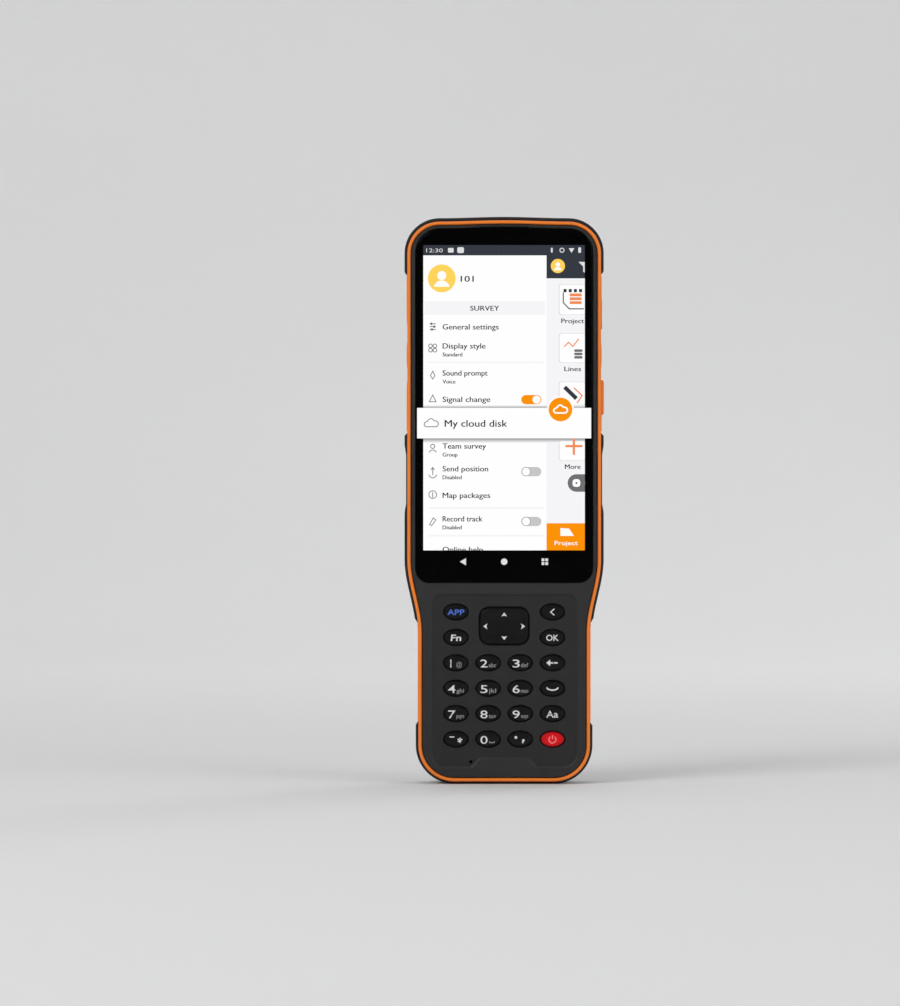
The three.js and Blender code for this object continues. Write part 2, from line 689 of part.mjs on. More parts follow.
keyPlaces.forEach(({ name, at }) => {
  add(name, ovalKey(...at), name === "key_power" ? "red" : "key");
});
add("dpad_cap", dpadCap(), "key");
add("dpad_rocker", dpadRocker(), "silicone");
screwPlaces.forEach(([x, z], i) => {
  add(`case_screw_${i + 1}`, caseScrew(x, z), "steel");
});

export default collector;
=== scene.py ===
# %% [markdown]
# # A rugged data collector, piece by piece
# The solid model fixes every size and every joint. This lesson gives it its surfaces: rounded shells, printed keys,
# a lit screen. Lengths are worked out in millimetres, because that is how such a case is drawn, and turned into
# metres only when a mesh is made. The screen looks along -Y, +Z runs up the long side.

# %% Load the frame
import math

import bpy
import numpy as np
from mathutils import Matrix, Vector


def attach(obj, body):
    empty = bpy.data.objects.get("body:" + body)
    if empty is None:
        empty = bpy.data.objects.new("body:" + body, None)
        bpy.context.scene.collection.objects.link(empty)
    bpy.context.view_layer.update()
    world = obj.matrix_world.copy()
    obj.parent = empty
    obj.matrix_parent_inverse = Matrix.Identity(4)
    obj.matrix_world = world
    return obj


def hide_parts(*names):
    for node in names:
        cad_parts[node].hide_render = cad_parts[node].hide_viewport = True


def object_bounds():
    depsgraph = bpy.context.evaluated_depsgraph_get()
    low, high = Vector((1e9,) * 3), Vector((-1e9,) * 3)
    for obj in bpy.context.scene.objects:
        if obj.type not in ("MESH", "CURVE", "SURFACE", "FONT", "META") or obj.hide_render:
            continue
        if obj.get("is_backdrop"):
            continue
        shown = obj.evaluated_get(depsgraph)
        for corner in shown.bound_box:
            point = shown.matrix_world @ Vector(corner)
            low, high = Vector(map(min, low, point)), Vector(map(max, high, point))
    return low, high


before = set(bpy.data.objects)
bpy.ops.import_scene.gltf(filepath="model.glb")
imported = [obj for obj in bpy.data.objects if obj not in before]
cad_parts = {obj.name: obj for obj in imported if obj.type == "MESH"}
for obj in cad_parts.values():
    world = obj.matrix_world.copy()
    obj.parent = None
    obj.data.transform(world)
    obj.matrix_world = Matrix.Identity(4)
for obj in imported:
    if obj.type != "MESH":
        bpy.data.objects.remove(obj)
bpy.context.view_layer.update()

# %% [markdown]
# ## Shapes as plain arrays
# A shape here is a pair: an array of points in millimetres and a list of faces. Most shapes are lofts: rings of
# points, one behind the other, skinned with four-sided faces. Boxes and cylinders from the menu would give only
# sharp edges, while a loft can carry a fillet, a dish or a swelling flank in its rings.

# %% Lofts
MM = 0.001


def upright(points, faces):
    """Turn all faces round if the shape's volume, the sum of corner . (corner x corner) / 6, is negative."""
    volume = 0.0
    for face in faces:
        fan = points[np.asarray(face)]
        volume += np.einsum("ij,ij->", np.cross(fan[1:-1], fan[2:]), np.broadcast_to(fan[0], fan[2:].shape))
    if volume < 0:
        faces = [list(face)[::-1] for face in faces]
    return points, faces


def loft(rings, closed=False):
    """Skin rings of equal count: face (r, i) joins points i and i + 1 of ring r to the same points of ring r + 1."""
    rings = np.asarray(rings, float)
    bands, count, _ = rings.shape
    rows = np.arange(bands if closed else bands - 1)[:, None]
    here = np.arange(count)[None, :]
    after = (here + 1) % count
    above = (rows + 1) % bands
    quads = np.stack([rows * count + here, rows * count + after, above * count + after, above * count + here], -1)
    faces = quads.reshape(-1, 4).tolist()
    if not closed:
        faces.append(list(range(count))[::-1])
        faces.append(list(range((bands - 1) * count, bands * count)))
    return upright(rings.reshape(-1, 3), faces)


def joined(*shapes):
    """All the shapes as one, their face numbers moved on by the points before them."""
    points, faces, start = [], [], 0
    for one_points, one_faces in shapes:
        points.append(one_points)
        faces += [[corner + start for corner in face] for face in one_faces]
        start += len(one_points)
    return np.concatenate(points), faces


def at_depth(flat, y):
    """Points (x, z) of an outline as (x, y, z)."""
    return np.column_stack([flat[:, 0], np.full(len(flat), float(y)), flat[:, 1]])


def prism(flat, front, back):
    """A plate with the outline flat, from depth front to depth back."""
    return loft([at_depth(flat, front), at_depth(flat, back)])


# %% [markdown]
# ## Outlines
# Every cut and plate starts from a flat outline that can be grown by a distance, because a fillet is nothing but
# the same outline grown a little at each step down. So each outline here is a function of that distance.

# %% Rounded rectangles, ovals and polygons that can grow
def quarter_turns(steps):
    return np.linspace(0, math.pi / 2, steps + 1)


def rounded(x, z, width, height, radius, steps=6):
    """Rounded rectangle about (x, z): four quarter circles of radius r + d about corners that stay in place."""
    def grown(d=0.0):
        turns = quarter_turns(steps)
        r = max(radius + d, 0.01)
        half_w, half_h = width / 2 + d - r, height / 2 + d - r
        corners = []
        for quarter, (sx, sz) in enumerate([(1, -1), (1, 1), (-1, 1), (-1, -1)]):
            angle = turns + (quarter - 1) * math.pi / 2
            corners.append(np.column_stack([x + sx * half_w + r * np.cos(angle), z + sz * half_h + r * np.sin(angle)]))
        return np.concatenate(corners)
    return grown


def oval(x, z, width, height, steps=48, power=2.0):
    """Superellipse: x = a cos|t|^(2/p), z = b sin|t|^(2/p); power 2 is an ellipse and more is squarer."""
    def grown(d=0.0):
        t = np.arange(steps) * 2 * math.pi / steps
        c, s = np.cos(t), np.sin(t)
        across = (width / 2 + d) * np.sign(c) * np.abs(c) ** (2 / power)
        along = (height / 2 + d) * np.sign(s) * np.abs(s) ** (2 / power)
        return np.column_stack([x + across, z + along])
    return grown


def softened(corners, radii, steps=5):
    """Polygon with each corner replaced by an arc: grown by d its sides move out by d and its arcs follow."""
    corners = np.asarray(corners, float)

    def grown(d=0.0):
        out = []
        count = len(corners)
        before = corners - np.roll(corners, 1, 0)
        after = np.roll(corners, -1, 0) - corners
        before /= np.linalg.norm(before, axis=1)[:, None]
        after /= np.linalg.norm(after, axis=1)[:, None]
        for i in range(count):
            u, v = before[i], after[i]
            turn = math.atan2(u[0] * v[1] - u[1] * v[0], float(u @ v))
            normal_u, normal_v = np.array([u[1], -u[0]]), np.array([v[1], -v[0]])
            mitre = (normal_u + normal_v) / (1 + float(normal_u @ normal_v))
            convex = turn > 0
            r = max(radii[i] + (d if convex else -d), 0.02)
            apex = corners[i] + mitre * d
            reach = r * math.tan(abs(turn) / 2)
            start = apex - u * reach
            side = normal_u if convex else -normal_u
            centre = start - side * r
            angles = math.atan2(side[1], side[0]) + np.linspace(0, turn, steps + 1)
            out.append(centre + r * np.column_stack([np.cos(angles), np.sin(angles)]))
        return np.concatenate(out)
    return grown


# %% [markdown]
# ## The outline of the body
# All the big shells follow one family of outlines: straight sides, round corners, a slightly arched head and an S
# curve at the waist, where the wide screen end narrows to the grip. The steps of every outline run in the same
# order, so two of them can be skinned point to point, which makes the curved flank.

# %% Body outlines
WAIST_FROM, WAIST_TO = 59.0, 87.0
BUMPER = dict(low=34.3, high=38.65, foot=0.0, head=219.5, crown=0.5, foot_r=15.0, head_r=13.6)
FRAME_EDGE = dict(low=33.35, high=37.65, foot=0.93, head=218.1, crown=0.5, foot_r=14.0, head_r=12.6)
CREASE = dict(low=27.7, high=27.7, foot=14.2, head=207.9, crown=0.4, foot_r=8.0, head_r=6.5)
GLASS = dict(low=34.2, high=34.2, foot=78.2, head=215.1, crown=0.45, foot_r=5.3, head_r=9.2)
SIDE_SHARES = np.concatenate([
    [0.1], np.linspace(0.22, 0.39, 22), np.linspace(0.41, 0.62, 22), np.linspace(0.64, 0.98, 40),
])
CORNER_STEPS = 14


def smooth_step(t):
    """t squared times (3 - 2t), with t held between 0 and 1."""
    t = np.clip(t, 0, 1)
    return t * t * (3 - 2 * t)


def body_outline(shape, inset=0.0, dent=None):
    """Half outline from the middle of the foot to the middle of the head, then its mirror image.
    dent(z) is how much further in the side lies at height z."""
    turns = quarter_turns(CORNER_STEPS)
    side_foot = shape["foot"] + shape["foot_r"]
    side_head = shape["head"] - shape["head_r"]
    foot_r, head_r = shape["foot_r"] - inset, shape["head_r"] - inset
    foot = np.column_stack([
        shape["low"] - shape["foot_r"] + foot_r * np.cos(turns - math.pi / 2),
        side_foot + foot_r * np.sin(turns - math.pi / 2),
    ])
    z = side_foot + SIDE_SHARES * (side_head - side_foot)
    width = shape["low"] + (shape["high"] - shape["low"]) * smooth_step((z - WAIST_FROM) / (WAIST_TO - WAIST_FROM))
    hollow = dent(z) if dent else 0.0
    side = np.column_stack([width - inset - hollow, z])
    crown_x = shape["high"] - shape["head_r"]
    head = np.column_stack([crown_x + head_r * np.cos(turns), side_head + head_r * np.sin(turns)])
    share = np.linspace(1, 0, 9)[1:-1]
    lift = shape["crown"] * (1 + np.cos(math.pi * share)) / 2
    crown = np.column_stack([crown_x * share, shape["head"] - inset + lift])
    right = np.concatenate([foot, side, head, crown])
    left = right[::-1] * [-1, 1]
    first, last = [[0, shape["foot"] + inset]], [[0, shape["head"] - inset + shape["crown"]]]
    return np.concatenate([first, right, last, left])


print("points on a body outline:", len(body_outline(BUMPER)))

# %% [markdown]
# ## Cutting
# A moulded case is mostly holes and pockets. Modelling each by hand in the skin would tie every shape to the next
# one, so the shells are lofted whole and the pockets are cut with Boolean modifiers. The fillet along a pocket's
# rim is part of the cutting tool: the tool flares out where it leaves the surface, as a moulding tool does.

# %% Boolean cuts that give arrays back
def mesh_of(shape, name):
    points, faces = shape
    mesh = bpy.data.meshes.new(name)
    mesh.from_pydata((points * MM).tolist(), [], faces)
    mesh.validate()
    return mesh


def arrays_of(mesh):
    points = np.empty(len(mesh.vertices) * 3)
    mesh.vertices.foreach_get("co", points)
    return points.reshape(-1, 3) / MM, [list(polygon.vertices) for polygon in mesh.polygons]


def combined(base, tools, operation):
    """Apply each tool to the base in turn; tools that touch each other belong in different entries."""
    target = bpy.data.objects.new("target", mesh_of(base, "target"))
    bpy.context.scene.collection.objects.link(target)
    helpers = []
    for tool in tools:
        helper = bpy.data.objects.new("tool", mesh_of(tool, "tool"))
        bpy.context.scene.collection.objects.link(helper)
        cut = target.modifiers.new("cut", "BOOLEAN")
        cut.operation = operation
        cut.solver = "MANIFOLD"
        cut.object = helper
        helpers.append(helper)
    graph = bpy.context.evaluated_depsgraph_get()
    mesh = bpy.data.meshes.new_from_object(target.evaluated_get(graph))
    result = arrays_of(mesh)
    for item in [target, *helpers]:
        bpy.data.objects.remove(item)
    return result


def cut(base, *tools):
    return combined(base, tools, "DIFFERENCE")


def kept(base, *tools):
    return combined(base, tools, "INTERSECT")


def fused(base, *tools):
    return combined(base, tools, "UNION")


def pocket(grown, floor, mouth, lip=0.3, root=0.2, out=1, far=6.0):
    """Tool for a pocket: floor, root fillet, wall, lip fillet that flares by lip, then straight out past the surface.
    out is 1 for a pocket in the back, whose depths grow towards the mouth, and -1 for one in the front."""
    turns = quarter_turns(4)
    steps = [(-root + root * math.sin(t), floor + out * (root - root * math.cos(t))) for t in turns]
    steps += [(lip - lip * math.cos(t), mouth - out * (lip - lip * math.sin(t))) for t in turns]
    steps.append((lip, mouth + out * far))
    return loft([at_depth(grown(d), y) for d, y in steps])


def recess(grown, floor, mouth, run, out=-1, far=4.0, steps=10):
    """Tool for a shallow recess whose wall is one S curve: share t across the run, depth by t t (3 - 2 t)."""
    share = np.linspace(0, 1, steps + 1)
    rings = [at_depth(grown(-run + run * t), floor + (mouth - floor) * float(smooth_step(t))) for t in share]
    return loft(rings + [at_depth(grown(0.0), mouth + out * far)])


def plate(grown, front, back, edge=0.3, far_edge=0.0, steps=4):
    """Plate with a rounded edge at depth front and, if far_edge is set, another at depth back."""
    side = 1 if back > front else -1
    turns = quarter_turns(steps)
    rings = [(-edge + edge * math.sin(t), front + side * (edge - edge * math.cos(t))) for t in turns]
    if far_edge:
        rings += [(-far_edge + far_edge * math.cos(t), back - side * (far_edge - far_edge * math.sin(t)))
                  for t in turns]
    else:
        rings.append((0.0, back))
    return loft([at_depth(grown(d), y) for d, y in rings])


# %% [markdown]
# ## From arrays to pieces
# A finished piece is smooth where its faces meet gently and crisp where they meet at a corner. Weighted normals let
# a big flat face keep its flatness next to a small fillet. Each piece says which body of the solid model it rides
# on and which solid it stands for.

# %% Making a piece
def piece(name, shape, finish, body, stands_for=(), crisp=32):
    mesh = mesh_of(shape, name)
    mesh.polygons.foreach_set("use_smooth", np.ones(len(mesh.polygons), bool))
    mesh.set_sharp_from_angle(angle=math.radians(crisp))
    mesh.materials.append(finish)
    made = bpy.data.objects.new(name, mesh)
    bpy.context.scene.collection.objects.link(made)
    weighted = made.modifiers.new("flat faces stay flat", "WEIGHTED_NORMAL")
    weighted.keep_sharp = True
    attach(made, body)
    if stands_for:
        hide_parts(*stands_for)
    triangles = sum(len(polygon.vertices) - 2 for polygon in mesh.polygons)
    low, high = mesh_span(mesh)
    print(f"{name}: {triangles} triangles, {low} to {high} mm")
    return made


def mesh_span(mesh):
    points, _ = arrays_of(mesh)
    return np.round(points.min(0), 2).tolist(), np.round(points.max(0), 2).tolist()


# %% [markdown]
# ## Wiring a finish
# Shader graphs are long to write node by node. A small class wraps one output socket, so that sums and products of
# values can be written as sums and products; each operator adds one Math node. Another small class owns the
# material and adds any other node by its type, settings and sockets.

# %% Sockets with arithmetic
def linear(red, green, blue):
    """Screen values from 0 to 255 as linear light."""
    share = np.array([red, green, blue]) / 255
    light = np.where(share <= 0.04045, share / 12.92, ((share + 0.055) / 1.055) ** 2.4)
    return (*light.tolist(), 1.0)


class Wire:
    """One output socket of a finish's graph."""

    def __init__(self, finish, socket):
        self.finish = finish
        self.socket = socket

    def _math(self, operation, first, second):
        return self.finish.node("ShaderNodeMath", {"operation": operation}, {0: first, 1: second})

    def __add__(self, other):
        return self._math("ADD", self, other)

    __radd__ = __add__

    def __sub__(self, other):
        return self._math("SUBTRACT", self, other)

    def __rsub__(self, other):
        return self._math("SUBTRACT", other, self)

    def __mul__(self, other):
        return self._math("MULTIPLY", self, other)

    __rmul__ = __mul__

    def over(self, low, high):
        """0 below low, 1 above high and a straight ramp between."""
        sockets = {"Value": self, "From Min": low, "From Max": high}
        return self.finish.node("ShaderNodeMapRange", {"clamp": True}, sockets)


class Finish:
    """A material and its Principled shader."""

    def __init__(self, name, **constants):
        self.material = bpy.data.materials.new(name)
        self.material.use_nodes = True
        self.tree = self.material.node_tree
        self.shader = self.tree.nodes["Principled BSDF"]
        self.place = self.node("ShaderNodeTexCoord", {}, {}, "Object")
        for socket, value in constants.items():
            self.shader.inputs[socket.replace("_", " ")].default_value = value

    def node(self, kind, settings, sockets, output=0):
        made = self.tree.nodes.new(kind)
        for setting, value in settings.items():
            setattr(made, setting, value)
        for socket, value in sockets.items():
            self.feed(made.inputs[socket], value)
        return Wire(self, made.outputs[output])

    def feed(self, socket, value):
        if isinstance(value, Wire):
            self.tree.links.new(value.socket, socket)
        else:
            socket.default_value = value

    def set(self, socket, value):
        self.feed(self.shader.inputs[socket], value)

    def noise(self, size_mm, detail=2.0, roughness=0.5, stretch=(1, 1, 1)):
        """Fractal noise whose blobs are about size_mm across; stretch divides its frequency along each axis."""
        scale = tuple(1 / share for share in stretch)
        place = self.node("ShaderNodeMapping", {}, {"Vector": self.place, "Scale": scale})
        sockets = {"Vector": place, "Scale": 1 / (size_mm * MM), "Detail": detail, "Roughness": roughness}
        return self.node("ShaderNodeTexNoise", {}, sockets)

    def blend(self, factor, first, second):
        """Colour mix: first where the factor is 0, second where it is 1."""
        sockets = {"Factor": factor, 6: first, 7: second}
        return self.node("ShaderNodeMix", {"data_type": "RGBA"}, sockets, 2)

    def axis(self, letter):
        """One coordinate of the object, in millimetres."""
        parts = self.node("ShaderNodeSeparateXYZ", {}, {"Vector": self.place}, "XYZ".index(letter))
        return parts * 1000.0

    def bump(self, height, depth_mm, strength=1.0):
        sockets = {"Height": height, "Distance": depth_mm * MM, "Strength": strength}
        self.set("Normal", self.node("ShaderNodeBump", {}, sockets))


# %% [markdown]
# ## Moulded plastic
# The case parts are moulded in a spark-eroded tool: a fine, even grain that scatters the light, a slight mottling
# of the colour, and places that hands have polished. Three noises of very different size give those three things. A
# single grey would look like a drawing of plastic.

# %% Moulded finishes
def scaled(tone, share):
    return tuple(min(1.0, value * share) for value in tone[:3]) + (1.0,)


def moulded(name, tone, grain_mm=0.28, grain_depth=0.02, rough=0.55, mottle=0.1, polish=0.12, painted_shade=None):
    """deep = (axis, from mm, to mm, share) is painted shade: the tone rises from that share of itself at the first
    place to all of it at the second, which darkens a flank towards its outline where it curves away from the light."""
    finish = Finish(name, Specular_IOR_Level=0.3)
    broad = finish.noise(22, 3)
    patches = finish.noise(6, 4, 0.6)
    grain = finish.noise(grain_mm, 2, 0.6)
    shade = (broad * 0.6 + patches * 0.4).over(0.35, 0.65)
    colour = finish.blend(shade, scaled(tone, 1 - mottle), scaled(tone, 1 + mottle))
    # Painted shade: the base colour darkens along one axis where the flank turns from the light.
    if painted_shade:
        letter, start, end, left = painted_shade
        colour = finish.blend(finish.axis(letter).over(start, end), scaled(tone, left), colour)
    finish.set("Base Color", colour)
    rubbed = patches.over(0.5, 0.75)
    finish.set("Roughness", rough - rubbed * polish + (grain - 0.5) * 0.12)
    finish.bump(grain, grain_depth)
    return finish.material


# The housing's colour is painted darker towards its outline, from depth 7.2 to 10.25: painted shade over the curving
# flank.
HOUSING = moulded("housing plastic", linear(92, 92, 93), rough=0.56, painted_shade=("Y", 7.2, 10.25, 0.14))
BAR = moulded("bar plastic", linear(98, 98, 98), rough=0.5)
COVER = moulded("cover plastic", linear(44, 44, 45), grain_mm=0.2, grain_depth=0.008, rough=0.5, mottle=0.05)
# The sunk keypad panel is painted darker than the cover round it: painted shade for its recess.
SHADED_PANEL = moulded("keypad panel", linear(37, 37, 37), grain_mm=0.2, grain_depth=0.008, rough=0.55, mottle=0.05)
ORANGE = moulded("orange frame", linear(255, 134, 46), grain_mm=0.2, grain_depth=0.006, rough=0.42, mottle=0.05)
DARK_ORANGE = moulded("side key plastic", linear(150, 70, 22), grain_mm=0.2, grain_depth=0.006, rough=0.45)
# The plugs take the same painted shade as the flank round them, darker towards the outline.
RUBBER = moulded("rubber plug", linear(85, 85, 86), grain_mm=0.35, rough=0.8, polish=0.05, painted_shade=("Y", 7.1, 10.15, 0.16))
FLAP_RUBBER = moulded("port flap rubber", linear(46, 47, 48), grain_mm=0.3, grain_depth=0.02, rough=0.78)
SILICONE = moulded("silicone", linear(92, 94, 96), grain_mm=0.5, grain_depth=0.01, rough=0.85, polish=0.04)
MODULE = moulded("module shell", linear(30, 30, 31), grain_mm=0.25, grain_depth=0.008, rough=0.6)
print("moulded finishes ready")

# %% [markdown]
# ## Gloss, metal and print
# Keys and windows are polished in the tool, so they keep sharp highlights that finger grease breaks up a little.
# The glass is black because it is printed on its back: the shader stays opaque, which is also how it looks from any
# side. Metals are turned or plated, with fine lines along the tool's path.

# %% Gloss and metal finishes
def glossy(name, tone, rough=0.22, smudge=0.12, wave=0.003, edge=None, **constants):
    """edge = (rim y, middle y, share): painted shade, a crown darker towards its rim, down to that share of the tone,
    where it curves away from the light.
    """
    finish = Finish(name, **constants)
    prints = finish.noise(7, 4, 0.65)
    fine = finish.noise(0.5, 2)
    dusty = tuple(min(1.0, value * 1.25 + 0.0006) for value in tone[:3]) + (1.0,)
    colour = finish.blend(prints.over(0.45, 0.8), tone, dusty)
    # Painted shade: the crown's colour darkens from its middle to its rim.
    if edge:
        rim, middle, left = edge
        colour = finish.blend(finish.axis("Y").over(rim, middle), scaled(tone, left), colour)
    finish.set("Base Color", colour)
    finish.set("Roughness", rough + prints.over(0.42, 0.72) * smudge)
    finish.bump(fine, wave)
    return finish.material


def metal(name, tone, rough=0.32, lines=(1, 1, 1), grain_mm=0.3):
    finish = Finish(name)
    streak = finish.noise(grain_mm, 3, 0.6, lines)
    stain = finish.noise(4, 3)
    finish.set("Base Color", finish.blend(stain.over(0.35, 0.7), scaled(tone, 0.72), tone))
    finish.set("Metallic", 1.0 - stain.over(0.66, 0.8) * 0.15)
    finish.set("Roughness", rough + streak * 0.2 - 0.1)
    finish.bump(streak, 0.004)
    return finish.material


KEY_BLACK = glossy("black key", linear(9, 9, 9), rough=0.3, smudge=0.15, Specular_IOR_Level=0.2)
# The red key's crown is painted darker towards its rim: painted shade where the curve turns from the light.
KEY_RED = glossy("red key", linear(236, 14, 24), rough=0.28, edge=(-10.75, -11.08, 0.35), Specular_IOR_Level=0.2)
GLASS_BLACK = glossy("black printed glass", linear(1, 1, 1), rough=0.05, smudge=0.05, wave=0.0,
                     Specular_IOR_Level=0.04)
WINDOW = glossy("lens window", linear(3, 3, 3), rough=0.08, smudge=0.06, wave=0.0, Specular_IOR_Level=0.12)
LENS = glossy("coated lens", linear(24, 40, 62), rough=0.06, smudge=0.05, wave=0.0, Specular_IOR_Level=0.4)
NAME_PLATE = glossy("blank name plate", linear(1, 1, 1), rough=0.12, smudge=0.08, Specular_IOR_Level=0.06)
STEEL = metal("screw steel", linear(112, 113, 115))
YELLOW = metal("yellow plated brass", linear(232, 214, 60), rough=0.35)
ALLOY = metal("die-cast alloy", linear(178, 180, 183), rough=0.5, grain_mm=0.6)
SOCKET = metal("plain steel", linear(170, 172, 175), rough=0.28, lines=(1, 6, 1))
WRAP = glossy("cell wrap", linear(36, 38, 41), rough=0.4)
PANEL_BACK = glossy("panel foil", linear(58, 60, 62), rough=0.35)


def circuit_board(name):
    """Green mask over copper: a cell pattern for the islands and fine lines for the tracks between them."""
    finish = Finish(name, Coat_Weight=0.4)
    cells = finish.node("ShaderNodeTexVoronoi", {"feature": "DISTANCE_TO_EDGE"},
                        {"Vector": finish.place, "Scale": 1 / (2.4 * MM)})
    tracks = 1 - cells.over(0.03, 0.06)
    finish.set("Base Color", finish.blend(tracks, linear(14, 74, 42), linear(36, 112, 62)))
    finish.set("Roughness", 0.42 + finish.noise(3, 3) * 0.15)
    finish.bump(tracks, 0.03)
    return finish.material


BOARD = circuit_board("circuit board")


def printed(name, tone, rough=0.5):
    """Ink: an even colour that thins a little where the surface grain comes through."""
    finish = Finish(name)
    wear = finish.noise(0.35, 3)
    finish.set("Base Color", finish.blend(wear.over(0.5, 0.8), tone, scaled(tone, 0.82)))
    finish.set("Roughness", rough + wear * 0.1)
    return finish.material


INK_WHITE = printed("white print", linear(232, 232, 232))
INK_GREY = printed("grey print", linear(150, 150, 152))
INK_BLUE = printed("blue print", linear(76, 120, 222))
INK_DARK = printed("dark print", linear(52, 52, 53))
INK_PINK = printed("pale red print", linear(255, 142, 142))


def lit(name, tone, strength=1.0):
    """A lit patch of the screen: it gives off its own colour, behind the gloss of the glass."""
    finish = Finish(name, Base_Color=(0.0, 0.0, 0.0, 1.0), Emission_Strength=strength, Specular_IOR_Level=0.04,
                    Emission_Color=tone)
    finish.set("Roughness", 0.12 + finish.noise(9, 3).over(0.4, 0.7) * 0.08)
    return finish.material


def lit_fade(name, near, far, letter, start, end):
    """A soft shadow drawn by the screen: its light runs from one tone to the other along an axis."""
    finish = Finish(name, Base_Color=(0.0, 0.0, 0.0, 1.0), Emission_Strength=1.0, Specular_IOR_Level=0.04)
    finish.set("Emission Color", finish.blend(finish.axis(letter).over(start, end), near, far))
    finish.set("Roughness", 0.12 + finish.noise(9, 3).over(0.4, 0.7) * 0.08)
    return finish.material


print("gloss, metal, print and light finishes ready")

# %% [markdown]
# ## The rear housing
# The back shell is one large moulding. Its side starts at a rounded front edge, runs straight, then swells over in
# a quarter of an ellipse to a crease that frames the flat back. It is lofted through rings of matching outlines,
# and hollowed by a second loft that lies one wall inside.

# %% Rear housing: the shell
FLANK_Y, RIDGE_Y, PANEL_Y = 2.0, 11.2, 10.85
BUMPER_FRONT = -9.0


def grip_dent(z):
    """The sides sink by 0.6 between two heights, with a 3 mm run at each end."""
    return 0.6 * smooth_step((z - 105.5) / 3) * smooth_step((131.0 - z) / 3)


def flank_rings(edge, top, steps=18):
    """Rings from an outline to the crease: share 1 - cos t of the way across, depth start + (top - start) sin t."""
    crease = body_outline(CREASE)
    rings = []
    for t in np.linspace(0, math.pi / 2, steps + 1):
        flat = edge + (1 - math.cos(t)) * (crease - edge)
        rings.append(at_depth(flat, FLANK_Y + (top - FLANK_Y) * math.sin(t)))
    return rings


def housing_skin():
    turns = quarter_turns(5)
    edge = 0.7
    front = [
        at_depth(body_outline(BUMPER, edge - edge * math.sin(t), grip_dent), BUMPER_FRONT + edge * (1 - math.cos(t)))
        for t in turns
    ]
    flank = flank_rings(body_outline(BUMPER, 0, grip_dent), RIDGE_Y)
    ridge = [at_depth(body_outline(CREASE, inset), y) for inset, y in [(0.25, 11.17), (0.4, 11.06), (0.5, 10.92)]]
    return loft(front + flank + ridge + [at_depth(body_outline(CREASE, 0.65), PANEL_Y)])


hollow_edge = body_outline(FRAME_EDGE, 1.0, grip_dent)
housing_hollow = loft([at_depth(hollow_edge, -14)] + flank_rings(hollow_edge, RIDGE_Y - 2.0, 10))
print("housing skin faces:", len(housing_skin()[1]))

# %% [markdown]
# Screws come in from behind, each at the bottom of a round seat that a rubber plug closes. The seats are listed
# once, for the right half, and mirrored.

# %% Rear housing: screw seats and the two side windows
SCREWS = np.array([[31.2, 210.4], [33.0, 167.4], [32.9, 131.2], [32.8, 85.0], [28.5, 51.5], [25.4, 8.6]])
SEATS = np.concatenate([[[0, 213.0]], SCREWS, SCREWS * [-1, 1]])
PLUG_R, PLUG_FLOOR = 2.95, 8.4


def column(x, z, radius, front, back, steps=32):
    return prism(oval(x, z, 2 * radius, 2 * radius, steps)(), front, back)


def side_window(x, low, high, slant, tail, gap):
    """Cut-out seen from the front: square to the panel inside, its two ends slanting outwards."""
    run = 45 - x
    corners = [[x + gap, low + gap / 2], [45, low + gap / 2 - tail * run / 6],
               [45, high - gap / 2 + slant * run / 6], [x + gap, high - gap / 2]]
    return softened(corners, [2.2, 0.1, 0.1, 2.2])


UPPER = dict(x=32.8, low=141.8, high=192.2, slant=6.8, tail=7.0)
LOWER = dict(x=32.7, low=24.7, high=61.0, slant=9.8, tail=8.0)


def mirrored(shape):
    points, faces = shape
    return upright(points * [-1, 1, 1], faces)


def both(shape):
    return joined(shape, mirrored(shape))


upper_window = both(prism(side_window(**UPPER, gap=0.0)(), -14, 14))
lower_window = both(prism(side_window(**LOWER, gap=0.0)(), -14, 14))
lobes = both(column(33.0, 167.4, 3.6, 1.3, 12, 48))
upper_window = cut(upper_window, lobes)
seat_holes = joined(*[pocket(oval(x, z, 2 * PLUG_R, 2 * PLUG_R, 40), PLUG_FLOOR, 30, 0, 0.1) for x, z in SEATS])
screw_wells = joined(*[column(x, z, 2.1, 4.7, PLUG_FLOOR + 0.4, 24) for x, z in SEATS])
screw_bores = joined(*[column(x, z, 1.2, 0, 5, 16) for x, z in SEATS])
print("screw seats:", len(SEATS))

# %% [markdown]
# The flat of the back carries five shallow finger grooves, the loudspeaker's slots, the seat of the strap bar with
# the name plate under it, and the two windows of the camera. All of them are pockets with a rim fillet.

# %% Rear housing: pockets in the flat back
BAR_Z, BAR_HALF, BAR_R = 163.9, 20.8, 5.7
LABEL_Z, LABEL_W, LABEL_H, LABEL_R = 147.5, 41.0, 10.0, 3.3
CAMERA_X, CAMERA_Z, CAMERA_R = 13.8, 200.3, 4.65
FLASH_Z, FLASH_W, FLASH_H = 191.4, 6.5, 4.3
grooves = joined(*[pocket(rounded(0, 46.8 + 19.6 * i, 48.4, 9.7, 3.0, 8), 10.1, PANEL_Y, 0.35, 0.3) for i in range(5)])
SLOT_X, SLOT_Z, SLOT_MIDDLE = 6.24, 3.7, 27.75


def slot_at(step, row, width, height, radius, floor, lip, root):
    """One slot of the loudspeaker, that many pitches from the middle of its row."""
    edge = rounded(step * SLOT_X, SLOT_MIDDLE + (row - 1.5) * SLOT_Z, width, height, radius, 5)
    return pocket(edge, floor, PANEL_Y, lip, root)


